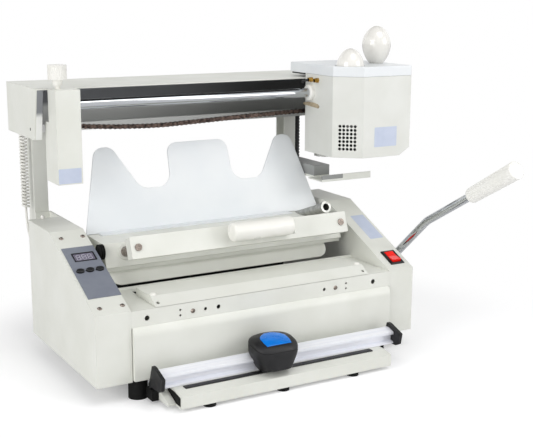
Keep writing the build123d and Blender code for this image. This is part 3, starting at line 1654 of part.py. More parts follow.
# Creasing wheel in the head, on its short axle
with BuildPart() as creaser_wheel:
    bar((head_x, crease_wheel_front, wheel_centre), (head_x, crease_wheel_back, wheel_centre), crease_wheel)
    chamfer(creaser_wheel.edges().filter_by(GeomType.CIRCLE), 1.2)
    axle = (crease_wheel_front - 5.5, crease_wheel_back + 4.5)
    bar((head_x, axle[0], wheel_centre), (head_x, axle[1], wheel_centre), 2.0)

# Every piece by its name
pieces = {
    "base_pan": base_pan,
    "side_frames": side_frames,
    "cabinet_left": cabinet_left,
    "cabinet_right": cabinet_right,
    "cover_screws": cover_screws,
    "table_plate": table_plate,
    "front_cover": front_cover,
    "rubber_feet": rubber_feet,
    "posts": posts,
    "beam": beam,
    "rod_box": rod_box,
    "guide_rod": guide_rod,
    "drive_chain": drive_chain,
    "cable_looms": cable_looms,
    "drip_tray": drip_tray,
    "control_panel": control_panel,
    "control_board": control_board,
    "rocker_bezel": rocker_bezel,
    "power_rocker": power_rocker,
    "mains_inlet": mains_inlet,
    "rear_jaw": rear_jaw,
    "spine_plate": spine_plate,
    "backrest": backrest,
    "stop_tube": stop_tube,
    "bumper": bumper,
    "jaw_bar": jaw_bar,
    "jaw_rods": jaw_rods,
    "lock_lever": lock_lever,
    "lock_grip": lock_grip,
    "nip_bar": nip_bar,
    "nip_screws": nip_screws,
    "lever_shaft": lever_shaft,
    "lever_rod": lever_rod,
    "lever_grip": lever_grip,
    "carriage_shell": carriage_shell,
    "carriage_lid": carriage_lid,
    "lid_knob": lid_knob,
    "lift_plunger": lift_plunger,
    "lift_spring": lift_spring,
    "rod_bushes": rod_bushes,
    "cable_glands": cable_glands,
    "glue_tank": glue_tank,
    "heater_plate": heater_plate,
    "glue_roller": glue_roller,
    "chain_wheel": chain_wheel,
    "roller_belt": roller_belt,
    "cutter_motor": cutter_motor,
    "milling_cutter": milling_cutter,
    "adjust_knob": adjust_knob,
    "scraper_block": scraper_block,
    "creaser_base": creaser_base,
    "creaser_strip": creaser_strip,
    "creaser_arms": creaser_arms,
    "creaser_rail": creaser_rail,
    "rail_caps": rail_caps,
    "creaser_head": creaser_head,
    "creaser_wheel": creaser_wheel,
}
for number, push_button in enumerate(buttons, start=1):
    pieces[f"push_button_{number}"] = push_button

# The origin is on the desk, under the middle of the machine's outer size
grip_box = lever_grip.part.bounding_box()
origin = Location((-(beam_left + beam_right) / 2, -(grip_box.min.Y + beam_back) / 2, 0))
print(f"origin moved by {origin.position.X:.3f}, {origin.position.Y:.3f}")

os.makedirs("parts", exist_ok=True)
for name, piece in pieces.items():
    placed = piece.part.moved(origin)
    placed.label = name
    export_step(placed, f"parts/{name}.step")
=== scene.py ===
import bmesh
import bpy
import json
import math
from mathutils import Matrix, Vector


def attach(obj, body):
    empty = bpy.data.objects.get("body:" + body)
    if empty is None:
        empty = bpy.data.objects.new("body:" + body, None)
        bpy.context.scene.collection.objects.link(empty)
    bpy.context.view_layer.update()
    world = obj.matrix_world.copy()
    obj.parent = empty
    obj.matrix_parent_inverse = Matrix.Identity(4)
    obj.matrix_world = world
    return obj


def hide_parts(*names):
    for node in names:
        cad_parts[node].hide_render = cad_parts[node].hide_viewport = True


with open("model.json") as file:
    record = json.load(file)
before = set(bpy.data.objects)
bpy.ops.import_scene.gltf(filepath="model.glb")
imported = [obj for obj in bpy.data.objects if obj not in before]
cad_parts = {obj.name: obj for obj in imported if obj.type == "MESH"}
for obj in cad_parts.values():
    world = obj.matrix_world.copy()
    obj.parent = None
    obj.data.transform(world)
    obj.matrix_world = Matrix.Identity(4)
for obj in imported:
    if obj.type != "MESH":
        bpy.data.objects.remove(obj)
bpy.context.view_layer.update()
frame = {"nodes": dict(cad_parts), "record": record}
nodes = frame["nodes"]
print("frame loaded:", len(nodes), "nodes")

# Places are read in millimetres from the middle between the side frames, the covers' fronts and the desk
gauge = {
    "shiftX": -41.0,
    "shiftY": -57.939,
    "frontHeight": 103.7,  # where the cabinets' tops begin to slope
    "slope": math.atan2(63.3, 141.9),  # their rise over their run
}


def spot(x, y, z):
    return Vector((x + gauge["shiftX"], y + gauge["shiftY"], z)) / 1000


def onSlant(x, along, lift):  # a place over the cabinets' sloping tops
    rise, run = math.sin(gauge["slope"]), math.cos(gauge["slope"])
    return spot(x, along * run - lift * rise, gauge["frontHeight"] + along * rise + lift * run)


slantTurn = Matrix.Rotation(gauge["slope"], 4, "X")
frontTurn = Matrix.Rotation(math.pi / 2, 4, "X")


def linear(hexColour):
    def channel(value):
        return value / 12.92 if value <= 0.04045 else ((value + 0.055) / 1.055) ** 2.4

    return tuple(channel(int(hexColour[i : i + 2], 16) / 255) for i in (1, 3, 5)) + (1.0,)


def addNode(tree, kind, settings=None, inputs=None):
    node = tree.nodes.new(kind)
    for name, value in (settings or {}).items():
        setattr(node, name, value)
    for name, value in (inputs or {}).items():
        if isinstance(value, bpy.types.NodeSocket):
            tree.links.new(value, node.inputs[name])
        else:
            node.inputs[name].default_value = value
    return node


# Camera, fitted to the photograph's frame; the focal length is in its pixels
cameraPlace = {
    "place": (-589.51, -1013.876, 445.17),
    "azimuth": -30.011,
    "elevation": 12.353,
    "roll": 0.253,
    "focal": 1048.6,
    "frameWidth": 533,
    "sensor": 36.0,
}
turn, tilt = math.radians(cameraPlace["azimuth"]), math.radians(cameraPlace["elevation"])
ahead = Vector((-math.sin(turn) * math.cos(tilt), math.cos(turn) * math.cos(tilt), -math.sin(tilt)))
camera = bpy.data.objects.new("photoCamera", bpy.data.cameras.new("photoCamera"))
bpy.context.scene.collection.objects.link(camera)
level = ahead.to_track_quat("-Z", "Y").to_matrix().to_4x4()
camera.matrix_world = (
    Matrix.Translation(spot(*cameraPlace["place"]))
    @ level
    @ Matrix.Rotation(math.radians(cameraPlace["roll"]), 4, "Z")
)
camera.data.sensor_width = cameraPlace["sensor"]
camera.data.lens = cameraPlace["focal"] * cameraPlace["sensor"] / cameraPlace["frameWidth"]
camera.data.clip_start = 0.01
camera.data.clip_end = 50
bpy.context.scene.camera = camera
bpy.context.scene.view_settings.view_transform = "Standard"
print("camera set")


# Studio: a white floor that fades into the room, two big soft lamps in front, one above and a dark card
studio = {
    "floorHalf": 6.0,
    "floorTone": (0.86, 0.86, 0.87, 1),
    "floorGlow": 0.24,  # seen by the camera alone, so that the floor near the machine is white too
    "fadeFrom": 0.30,
    "fadeTo": 0.46,
    "card": {"half": (1.1, 0.8), "place": (0.0, 0.55, 1.25), "glow": 0.05},
    "room": 0.50,
    "aim": (40, 90, 150),
    "lamps": {
        "keyLamp": {"place": (1.6, -1.9, 0.9), "size": 1.4, "power": 18.0},
        "fillLamp": {"place": (-2.4, -0.8, 0.9), "size": 1.6, "power": 30.0},
        "topLamp": {"place": (0.3, -1.1, 2.4), "size": 1.6, "power": 20.0},
    },
}


def emptyTree(owner):
    owner.use_nodes = True
    owner.node_tree.nodes.clear()
    return owner.node_tree


def flatSheet(name, wide, deep, material):
    mesh = bpy.data.meshes.new(name)
    mesh.from_pydata(
        [(-wide, -deep, 0), (wide, -deep, 0), (wide, deep, 0), (-wide, deep, 0)], [], [(0, 1, 2, 3)]
    )
    mesh.materials.append(material)
    sheet = bpy.data.objects.new(name, mesh)
    bpy.context.scene.collection.objects.link(sheet)
    return sheet


def makeStudio():
    paper = bpy.data.materials.new("whitePaper")
    tree = emptyTree(paper)
    rays = addNode(tree, "ShaderNodeLightPath")
    seen = addNode(
        tree, "ShaderNodeMath", {"operation": "MULTIPLY"},
        {0: rays.outputs["Is Camera Ray"], 1: studio["floorGlow"]},
    )
    glow = addNode(tree, "ShaderNodeEmission", None, {"Color": (1, 1, 1, 1), "Strength": seen.outputs[0]})
    matte = addNode(tree, "ShaderNodeBsdfDiffuse", None, {"Color": studio["floorTone"]})
    near = addNode(tree, "ShaderNodeAddShader", None, {0: matte.outputs[0], 1: glow.outputs[0]})
    coords = addNode(tree, "ShaderNodeTexCoord")
    reach = addNode(tree, "ShaderNodeVectorMath", {"operation": "LENGTH"}, {0: coords.outputs["Object"]})
    limits = {"Value": reach.outputs["Value"], "From Min": studio["fadeFrom"], "From Max": studio["fadeTo"]}
    away = addNode(tree, "ShaderNodeMapRange", {"interpolation_type": "SMOOTHSTEP"}, limits)
    fade = addNode(
        tree, "ShaderNodeMath", {"operation": "MULTIPLY"},
        {0: away.outputs[0], 1: rays.outputs["Is Camera Ray"]},
    )
    white = addNode(tree, "ShaderNodeEmission", None, {"Color": (1, 1, 1, 1), "Strength": 1.0})
    shown = addNode(
        tree, "ShaderNodeMixShader", None, {0: fade.outputs[0], 1: near.outputs[0], 2: white.outputs[0]}
    )
    addNode(tree, "ShaderNodeOutputMaterial", None, {"Surface": shown.outputs[0]})
    flatSheet("floor", studio["floorHalf"], studio["floorHalf"], paper)

    # the card hangs overhead, where only reflections see it
    felt = bpy.data.materials.new("blackFelt")
    tree = emptyTree(felt)
    dull = addNode(
        tree, "ShaderNodeEmission", None, {"Color": (1, 1, 1, 1), "Strength": studio["card"]["glow"]}
    )
    addNode(tree, "ShaderNodeOutputMaterial", None, {"Surface": dull.outputs[0]})
    card = flatSheet("darkCard", *studio["card"]["half"], felt)
    card.location = studio["card"]["place"]
    card.visible_camera = card.visible_diffuse = card.visible_shadow = card.visible_transmission = False

    # the room is full white to the camera and to reflections, and half as bright as a light
    world = bpy.data.worlds.new("paleRoom")
    bpy.context.scene.world = world
    tree = emptyTree(world)
    rays = addNode(tree, "ShaderNodeLightPath")
    direct = addNode(
        tree, "ShaderNodeMath", {"operation": "MAXIMUM"},
        {0: rays.outputs["Is Camera Ray"], 1: rays.outputs["Is Transmission Ray"]},
    )
    shown = addNode(
        tree, "ShaderNodeMath", {"operation": "MAXIMUM"},
        {0: direct.outputs[0], 1: rays.outputs["Is Glossy Ray"]},
    )
    bright = addNode(
        tree, "ShaderNodeMix", {"data_type": "FLOAT"},
        {"Factor": shown.outputs[0], "A": studio["room"], "B": 1.0},
    )
    sky = addNode(tree, "ShaderNodeBackground", None, {"Color": (1, 1, 1, 1), "Strength": bright.outputs[0]})
    addNode(tree, "ShaderNodeOutputWorld", None, {"Surface": sky.outputs[0]})

    aim = spot(*studio["aim"])
    for name, lamp in studio["lamps"].items():
        light = bpy.data.lights.new(name, "AREA")
        light.size = lamp["size"]
        light.energy = lamp["power"]
        holder = bpy.data.objects.new(name, light)
        bpy.context.scene.collection.objects.link(holder)
        holder.location = lamp["place"]
        holder.rotation_mode = "QUATERNION"
        holder.rotation_quaternion = (aim - holder.location).to_track_quat("-Z", "Y")


makeStudio()
print("studio lit")


# Finishes: each is named for the real material, with its pattern sized from the real one
def makeFinish(
    name, tones, driftMm, rough, look=None, grainMm=1.0, grainDepth=0.0, edgeMm=0.0, stretch=(1, 1, 1)
):
    finish = bpy.data.materials.new(name)
    tree = emptyTree(finish)
    shader = addNode(tree, "ShaderNodeBsdfPrincipled", None, look)
    addNode(tree, "ShaderNodeOutputMaterial", None, {"Surface": shader.outputs["BSDF"]})
    coords = addNode(tree, "ShaderNodeTexCoord")
    laid = addNode(tree, "ShaderNodeMapping", None, {"Vector": coords.outputs["Object"], "Scale": stretch})
    drift = addNode(
        tree, "ShaderNodeTexNoise", None, {"Vector": laid.outputs[0], "Scale": 1000 / driftMm, "Detail": 3.0}
    )
    even = addNode(
        tree, "ShaderNodeMapRange", None, {"Value": drift.outputs[0], "From Min": 0.35, "From Max": 0.65}
    )
    tone = addNode(
        tree, "ShaderNodeMix", {"data_type": "RGBA"},
        {0: even.outputs[0], 6: linear(tones[0]), 7: linear(tones[1])},
    )
    tree.links.new(tone.outputs[2], shader.inputs["Base Color"])
    dull = addNode(
        tree, "ShaderNodeMapRange", None, {"Value": even.outputs[0], "To Min": rough[0], "To Max": rough[1]}
    )
    tree.links.new(dull.outputs[0], shader.inputs["Roughness"])
    if edgeMm:  # folded and moulded edges are round in the real object
        edge = addNode(tree, "ShaderNodeBevel", {"samples": 4}, {"Radius": edgeMm / 1000})
        tree.links.new(edge.outputs[0], shader.inputs["Normal"])
    if grainDepth:
        grain = addNode(
            tree, "ShaderNodeTexNoise", None,
            {"Vector": laid.outputs[0], "Scale": 1000 / grainMm, "Detail": 2.0},
        )
        relief = addNode(
            tree, "ShaderNodeBump", None,
            {"Strength": 0.6, "Distance": grainDepth / 1e6, "Height": grain.outputs[0]},
        )
        if edgeMm:
            tree.links.new(edge.outputs[0], relief.inputs["Normal"])
        tree.links.new(relief.outputs[0], shader.inputs["Normal"])
    return finish


# Polyester powder coat: satin, with an orange peel of about 1.5 mm, drawn at 2.5 mm so that it shows
powderCoat = makeFinish(
    "ivoryPowderCoat", ("#E0E1DA", "#DBDCD4"), 45, (0.38, 0.46), {"IOR": 1.5}, 2.5, 26, 0.7
)
# Baked acrylic enamel: smoother and cooler, with a soft gloss
enamel = makeFinish("coolWhiteEnamel", ("#E4E7E9", "#DFE3E6"), 60, (0.30, 0.36), {"IOR": 1.5}, 3.0, 14, 0.9)
# Injection moulded ABS: off white, faintly glossy
whiteAbs = makeFinish("whiteAbs", ("#F0EFEA", "#EAE9E2"), 30, (0.25, 0.32), {"IOR": 1.53}, 1.2, 6, 0.5)
# Polished phenolic knobs: deep gloss from a clear skin
knobGloss = makeFinish(
    "polishedPhenolic", ("#EDEBE6", "#E6E4DE"), 40, (0.10, 0.16),
    {"IOR": 1.56, "Coat Weight": 0.6, "Coat Roughness": 0.05}, 8.0, 10, 0.4,
)
# Glass filled nylon: black, with a fine spark eroded grain
blackNylon = makeFinish(
    "blackNylon", ("#0E0E10", "#18181A"), 12, (0.42, 0.55), {"IOR": 1.53, "Specular IOR Level": 0.35}, 0.9,
    30, 0.5,
)
# Polycarbonate with a lamp behind it: saturated and slightly lit
redLens = makeFinish(
    "litRedPolycarbonate", ("#EE2018", "#D8150F"), 9, (0.14, 0.2),
    {"IOR": 1.58, "Emission Color": linear("#FF2010"), "Emission Strength": 0.12}, 4.0, 8, 0.5,
)
# Printed polyester film: flat grey with a fine matt texture
panelFilm = makeFinish("polyesterFilm", ("#7C818C", "#757A86"), 20, (0.45, 0.55), {"IOR": 1.6}, 0.8, 8, 0.2)
# Silicone button caps
buttonCap = makeFinish("siliconeCap", ("#141516", "#1D1E20"), 5, (0.35, 0.45), {"IOR": 1.45}, 1.0, 10, 0.3)
# Glass fibre laminate with green solder mask
boardMask = makeFinish("solderMask", ("#1F6A3A", "#154D29"), 6, (0.25, 0.4), {"IOR": 1.55}, 2.0, 20, 0.2)
# Moulded rubber: nearly black and matt
rubber = makeFinish(
    "blackRubber", ("#0D0D0D", "#161616"), 8, (0.6, 0.75), {"IOR": 1.52, "Specular IOR Level": 0.15}, 1.2, 40,
    0.8,
)
# Polyethylene spiral: milky and waxy
spiralPe = makeFinish(
    "milkyPolyethylene", ("#ECEBE6", "#DEDDD6"), 10, (0.3, 0.4),
    {"IOR": 1.51, "Subsurface Weight": 0.1, "Subsurface Radius": (0.002, 0.002, 0.002)}, 2.0, 15,
)
# Polypropylene conduit: black and semi matt
conduitPp = makeFinish("blackPolypropylene", ("#161617", "#202021"), 8, (0.4, 0.5), {"IOR": 1.49}, 1.0, 15)
# Hard chrome on a ground bar: mirror bright, with drawn lines along X
chrome = makeFinish(
    "hardChrome", ("#C4C6C9", "#B7BABE"), 30, (0.05, 0.10), {"Metallic": 1.0}, 2.0, 2, 0.3, (0.06, 1, 1)
)
# Zinc plated steel: grey and satin
zinc = makeFinish("zincPlate", ("#B4B4B0", "#9B9B97"), 6, (0.28, 0.42), {"Metallic": 1.0}, 1.0, 10, 0.25)
# Extruded aluminium: long die lines along X
aluminium = makeFinish(
    "extrudedAluminium", ("#DADCE0", "#CDD0D6"), 2.2, (0.26, 0.4), {"Metallic": 1.0}, 1.4, 12, 0.4,
    (0.02, 1, 1),
)
# Anodised aluminium rail: satin and faintly lavender, with fine die lines along X
anodised = makeFinish(
    "anodisedAluminium", ("#F4F5FA", "#E9EBF3"), 2.2, (0.34, 0.48), {"Metallic": 0.2}, 1.4, 12, 0.4,
    (0.02, 1, 1),
)
# Turned brass
brass = makeFinish("turnedBrass", ("#C8A055", "#9A7430"), 4, (0.2, 0.3), {"Metallic": 1.0}, 0.6, 8, 0.2)
# Oiled chain steel: brown and dark patches, drawn link by link
chainSteel = makeFinish(
    "oiledChainSteel", ("#6B5A52", "#1E1B1A"), 3.2, (0.3, 0.5), {"Metallic": 0.8}, 1.0, 15, 0.15
)
# Black oxide on steel: dull and slightly brown
blackOxide = makeFinish(
    "blackOxideSteel", ("#4A4644", "#343130"), 3, (0.35, 0.5), {"Metallic": 0.7}, 1.0, 10, 0.2
)
# Copper flashed bolts: warm grey
copperFlash = makeFinish(
    "copperFlashedSteel", ("#958A82", "#6E665F"), 2.5, (0.3, 0.42), {"Metallic": 0.85}, 0.8, 10, 0.2
)
# Dark grey coat on the pan under the covers, painted dark so that the gap under the clamp shows as shade:
# satin, hardly any peel
gapShadeCoat = makeFinish("gapShadeGreyCoat", ("#1B1B1C", "#242425"), 40, (0.5, 0.6), {"IOR": 1.5}, 2.5, 18, 0.6)
# Coated label paper, faintly lavender
labelPaper = makeFinish("labelPaper", ("#C3CBDD", "#BCC5D8"), 14, (0.4, 0.5), {"IOR": 1.5}, 1.0, 4)
# Cast acrylic insert: clear blue under gloss
blueAcrylic = makeFinish(
    "blueAcrylic", ("#067ADC", "#0570CE"), 10, (0.2, 0.28), {"IOR": 1.49, "Specular IOR Level": 0.3}, 4.0, 6
)
# Liquid crystal glass: violet grey
lcdGlass = makeFinish("liquidCrystalGlass", ("#7C7888", "#706C7C"), 6, (0.08, 0.14), {"IOR": 1.52}, 3.0, 3)
lcdInk = makeFinish("liquidCrystalInk", ("#B8B6C0", "#A9A7B2"), 3, (0.2, 0.3), {"IOR": 1.52}, 2.0, 3)
# Vulcanised fibre tab: tan and dull
tanFibre = makeFinish("vulcanisedFibre", ("#B7A98F", "#9E9078"), 5, (0.5, 0.65), {"IOR": 1.5}, 1.0, 20, 0.2)


def shadeInside(finish, walls, corners, spanX, spanZ):
    # another tone within the walls, each a direction and how far the inside reaches along it in mm;
    # corners are the tones at low z and at high z, each for low x and high x
    tree = finish.node_tree
    shader = next(node for node in tree.nodes if node.type == "BSDF_PRINCIPLED")
    outside = shader.inputs["Base Color"].links[0].from_socket
    coords = addNode(tree, "ShaderNodeTexCoord")
    within = 1.0
    for way, reach in walls:
        edge = (reach + way[0] * gauge["shiftX"] + way[1] * gauge["shiftY"]) / 1000
        along = addNode(
            tree, "ShaderNodeVectorMath", {"operation": "DOT_PRODUCT"}, {0: coords.outputs["Object"], 1: way}
        )
        below = addNode(
            tree, "ShaderNodeMath", {"operation": "LESS_THAN"}, {0: along.outputs["Value"], 1: edge}
        )
        within = addNode(
            tree, "ShaderNodeMath", {"operation": "MULTIPLY"}, {0: below.outputs[0], 1: within}
        ).outputs[0]
    place = addNode(tree, "ShaderNodeSeparateXYZ", None, {0: coords.outputs["Object"]})
    limitsX = {
        "Value": place.outputs[0], "From Min": (spanX[0] + gauge["shiftX"]) / 1000,
        "From Max": (spanX[1] + gauge["shiftX"]) / 1000,
    }
    limitsZ = {"Value": place.outputs[2], "From Min": spanZ[0] / 1000, "From Max": spanZ[1] / 1000}
    shareX = addNode(tree, "ShaderNodeMapRange", None, limitsX).outputs[0]
    shareZ = addNode(tree, "ShaderNodeMapRange", None, limitsZ).outputs[0]
    rows = []
    for left, right in corners:
        row = addNode(
            tree, "ShaderNodeMix", {"data_type": "RGBA"}, {0: shareX, 6: linear(left), 7: linear(right)}
        )
        rows.append(row.outputs[2])
    inner = addNode(tree, "ShaderNodeMix", {"data_type": "RGBA"}, {0: shareZ, 6: rows[0], 7: rows[1]})
    whole = addNode(
        tree, "ShaderNodeMix", {"data_type": "RGBA"}, {0: within, 6: outside, 7: inner.outputs[2]}
    )
    tree.links.new(whole.outputs[2], shader.inputs["Base Color"])
    return finish


# The same coat on the beam, with painted shade in its channel, darker high up and toward its closed right
# end, and painted light low down on the left
beamShadeWalls = (((0, 0, 1), 329.5), ((0, 1, 0), 286.0), ((-1, 0, 0), 212.5), ((1, 0, 0), 294.5))
beamCoatPaintedShade = makeFinish("beamPowderCoatPaintedShade", ("#E0E1DA", "#DBDCD4"), 45, (0.38, 0.46), {"IOR": 1.5}, 2.5, 26, 0.7)
shadeInside(beamCoatPaintedShade, beamShadeWalls, (("#F0F1EE", "#B4B6B2"), ("#84868A", "#2C2D2A")), (-140, 250), (297, 303))
# The same coat on the carriage, painted near black inside as shade, so that its vents show dark
shellWalls = (
    ((-1, 0, 0), -153.2), ((1, 0, 0), 256.3), ((0, -1, 0), -78.2), ((0, 0, -1), -233.7),
    ((-0.655, -0.756, 0), -178.9),
)
shellCoatShadedInside = makeFinish(
    "shellPowderCoatShadedInside", ("#DDDED9", "#D8D9D3"), 45, (0.38, 0.46), {"IOR": 1.5}, 2.5, 26, 0.7
)
shadeInside(shellCoatShadedInside, shellWalls, (("#161717", "#161717"), ("#161717", "#161717")), (150, 250), (233, 336))
# The same coat on the tray, whose arm under the carriage is painted grey as the carriage's shade, a little
# lighter at its top
trayCoatShadedArm = makeFinish("trayPowderCoatShadedArm", ("#E0E1DA", "#DBDCD4"), 45, (0.38, 0.46), {"IOR": 1.5}, 2.5, 26, 0.7)
shadedArmWalls = (((1, 0, 0), 180.6), ((0, 0, -1), -201.5))
shadeInside(trayCoatShadedArm, shadedArmWalls, (("#8C8E8C", "#8C8E8C"), ("#9A9C9B", "#9A9C9B")), (150, 190), (203, 214))

slotFinish = {
    # the pan's dark coat is painted shade, so the gap under the clamp shows dark
    "dark_paint": gapShadeCoat,
    "ivory_paint": powderCoat,
    "lid_paint": enamel,
    "white_plastic": whiteAbs,
    "knob_plastic": knobGloss,
    "black_plastic": blackNylon,
    "red_plastic": redLens,
    "panel_film": panelFilm,
    "button_plastic": buttonCap,
    "board": boardMask,
    "black_rubber": rubber,
    "loom_plastic": spiralPe,
    "bright_steel": chrome,
    "dull_steel": zinc,
    "bare_aluminium": aluminium,
    "brass": brass,
}
nodeFinish = {
    "beam": beamCoatPaintedShade,
    "carriage_shell": shellCoatShadedInside,
    "backrest": enamel,
    "creaser_wheel": zinc,
    "creaser_rail": anodised,
    "jaw_rods": copperFlash,
    "cover_screws": copperFlash,
    "stop_tube": zinc,
    "drip_tray": trayCoatShadedArm,
    "adjust_knob": whiteAbs,
}
for part in frame["record"]["subparts"]:
    node = nodes[part["node"]]
    finish = nodeFinish.get(part["node"], slotFinish[part["material_slot"]])
    for place in node.material_slots:
        place.material = finish
print("finishes on", len(nodes), "nodes")


# Shapes, all in millimetres until they are placed
def latheShape(profile, sides):
    shape = bmesh.new()
    rings = []
    for radius, height in profile:
        count = sides if radius > 1e-6 else 1
        ring = [
            (radius * math.cos(math.tau * k / sides), radius * math.sin(math.tau * k / sides), height)
            for k in range(count)
        ]
        rings.append([shape.verts.new(corner) for corner in ring])
    for low, high in zip(rings, rings[1:]):
        for k in range(sides):
            around = (
                low[k % len(low)], low[(k + 1) % len(low)], high[(k + 1) % len(high)], high[k % len(high)]
            )
            corners = list(dict.fromkeys(around))
            if len(corners) > 2:
                shape.faces.new(corners)
    bmesh.ops.recalc_face_normals(shape, faces=shape.faces)
    return shape


def plateShape(outline, thickness, edge):
    shape = bmesh.new()
    base = shape.faces.new([shape.verts.new((x, y, 0)) for x, y in outline])
    raised = bmesh.ops.extrude_face_region(shape, geom=[base])
    top = [item for item in raised["geom"] if isinstance(item, bmesh.types.BMVert)]
    bmesh.ops.translate(shape, vec=(0, 0, thickness), verts=top)
    bmesh.ops.recalc_face_normals(shape, faces=shape.faces)
    if edge:
        rim = [line for line in shape.edges if all(abs(end.co.z - thickness) < 1e-6 for end in line.verts)]
        bmesh.ops.bevel(shape, geom=rim, offset=edge, segments=2, profile=0.5, affect="EDGES")
    return shape


def joinRings(shape, rings):
    for low, high in zip(rings, rings[1:]):
        for k in range(len(low)):
            n = (k + 1) % len(low)
            shape.faces.new((low[k], low[n], high[n], high[k]))


def roundedOutline(width, height, radius, steps=5):
    corners = []
    for cx, cy, start in ((1, 1, 0), (-1, 1, 90), (-1, -1, 180), (1, -1, 270)):
        for step in range(steps + 1):
            angle = math.radians(start + 90 * step / steps)
            corners.append(
                (
                    cx * (width / 2 - radius) + radius * math.cos(angle),
                    cy * (height / 2 - radius) + radius * math.sin(angle),
                )
            )
    return corners


def finishPiece(name, shape, place, finish, body, replaced=()):
    # place turns the shape's millimetres and moves it, so the object itself stays at the origin
    mesh = shape
    if isinstance(shape, bmesh.types.BMesh):
        mesh = bpy.data.meshes.new(name)
        shape.to_mesh(mesh)
        shape.free()
    mesh.transform(place)
    piece = bpy.data.objects.new(name, mesh)
    bpy.context.scene.collection.objects.link(piece)
    mesh.materials.clear()
    mesh.materials.append(finish)
    mesh.shade_smooth()
    mesh.set_sharp_from_angle(angle=math.radians(32))
    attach(piece, body)
    if replaced:
        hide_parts(*replaced)
    return piece


def standing(centre, turned=None):
    return Matrix.Translation(centre) @ (turned or Matrix.Identity(4)) @ Matrix.Scale(0.001, 4)


# Geometry Nodes trees: each has named inputs and ends in Realize Instances and Set Material
def newTree(name, sockets):
    tree = bpy.data.node_groups.new(name, "GeometryNodeTree")
    for label, kind in (("Geometry", "NodeSocketGeometry"), *sockets):
        tree.interface.new_socket(label, in_out="INPUT", socket_type=kind)
    tree.interface.new_socket("Geometry", in_out="OUTPUT", socket_type="NodeSocketGeometry")
    return tree, addNode(tree, "NodeGroupInput").outputs


def closeTree(tree, made, finish):
    real = addNode(tree, "GeometryNodeRealizeInstances", None, {"Geometry": made})
    painted = addNode(
        tree, "GeometryNodeSetMaterial", None, {"Geometry": real.outputs[0], "Material": finish}
    )
    addNode(tree, "NodeGroupOutput", None, {"Geometry": painted.outputs[0]})


def growMesh(carrier, tree, values):
    # runs the tree on a carrier object and gives the plain mesh
    bpy.context.scene.collection.objects.link(carrier)
    grown = carrier.modifiers.new("grow", "NODES")
    grown.node_group = tree
    for socket in tree.interface.items_tree:
        if socket.in_out == "INPUT" and socket.name in values:
            grown[socket.identifier] = values[socket.name]
    shown = bpy.context.evaluated_depsgraph_get()
    mesh = bpy.data.meshes.new_from_object(carrier.evaluated_get(shown), depsgraph=shown)
    carrier.modifiers.remove(grown)
    bpy.data.objects.remove(carrier)
    return mesh


def template(name, shape):
    mesh = bpy.data.meshes.new(name)
    shape.to_mesh(mesh)
    shape.free()
    return bpy.data.objects.new(name, mesh)


def repeatTree():
    # copies of one template on the carrier's points, each turned by the point's own angles
    tree, given = newTree(
        "repeatOnPoints", (("Template", "NodeSocketObject"), ("Finish", "NodeSocketMaterial"))
    )
    copy = addNode(tree, "GeometryNodeObjectInfo", None, {"Object": given["Template"]})
    turned = addNode(
        tree, "GeometryNodeInputNamedAttribute", {"data_type": "FLOAT_VECTOR"}, {"Name": "turned"}
    )
    spread = addNode(
        tree, "GeometryNodeInstanceOnPoints", None,
        {"Points": given["Geometry"], "Instance": copy.outputs["Geometry"], "Rotation": turned.outputs[0]},
    )
    closeTree(tree, spread.outputs[0], given["Finish"])
    return tree


repeatOnPoints = repeatTree()


def repeatPiece(name, shape, places, finish, body, replaced=()):
    # places are (point in metres, turn as a matrix); the template is in millimetres
    points = bpy.data.meshes.new(name + "Points")
    points.from_pydata([centre * 1000 for centre, _ in places], [], [])
    angles = points.attributes.new("turned", "FLOAT_VECTOR", "POINT")
    for index, (_, turned) in enumerate(places):
        angles.data[index].vector = turned.to_euler()
    mesh = growMesh(
        bpy.data.objects.new(name + "Points", points), repeatOnPoints,
        {"Template": template(name + "Template", shape), "Finish": finish},
    )
    return finishPiece(name, mesh, Matrix.Scale(0.001, 4), finish, body, replaced)


# Roller chain: quarter inch pitch, hung along the beam
chain = {
    "left": -165.0, "right": 286.0, "y": 180.0, "lowX": -50.0, "lowZ": 278.6, "endZ": 284.3, "flatX": 150.0,
    "flatZ": 285.4,
}
chainLink = {
    "pitch": 6.35, "height": 5.9, "waist": 4.3, "plate": 0.8, "innerGap": 2.7, "outerGap": 4.4,
    "roller": 1.65, "pin": 1.1, "pinEnd": 0.5,
}


def chainHeight(x):
    if x < chain["lowX"]:
        return chain["lowZ"] + (chain["endZ"] - chain["lowZ"]) * (
            (chain["lowX"] - x) / (chain["lowX"] - chain["left"])
        ) ** 2
    share = min(1.0, (x - chain["lowX"]) / (chain["flatX"] - chain["lowX"]))
    return chain["lowZ"] + (chain["flatZ"] - chain["lowZ"]) * share * (2 - share) * (0.5 + 0.5 * share)


def addShape(whole, shape, place):
    shape.transform(place)
    mesh = bpy.data.meshes.new("addedShape")
    shape.to_mesh(mesh)
    shape.free()
    whole.from_mesh(mesh)
    bpy.data.meshes.remove(mesh)


def linkShape(gap, inner):
    # two waisted plates a gap apart, with the rollers or the pins between them
    link = bmesh.new()
    half, outline = chainLink["height"] / 2, []
    for centre, first in ((chainLink["pitch"], -75), (0.0, 105)):
        for step in range(6):
            angle = math.radians(first + 150 * step / 5)
            outline.append((centre + half * math.cos(angle), half * math.sin(angle)))
        outline.append((chainLink["pitch"] / 2, (1 if first < 0 else -1) * chainLink["waist"] / 2))
    for side in (-1, 1):
        plate = plateShape(outline, chainLink["plate"], 0)
        shift = side * (gap / 2 + chainLink["plate"] / 2) + chainLink["plate"] / 2
        addShape(link, plate, Matrix.Translation((0, shift, 0)) @ frontTurn)
    radius = chainLink["roller"] if inner else chainLink["pin"]
    reach = gap / 2 + (0 if inner else chainLink["plate"] + chainLink["pinEnd"])
    for centre in (0.0, chainLink["pitch"]):
        barrel = latheShape([(0, -reach), (radius, -reach), (radius, reach), (0, reach)], 8)
        addShape(link, barrel, Matrix.Translation((centre, 0, 0)) @ frontTurn)
    return link


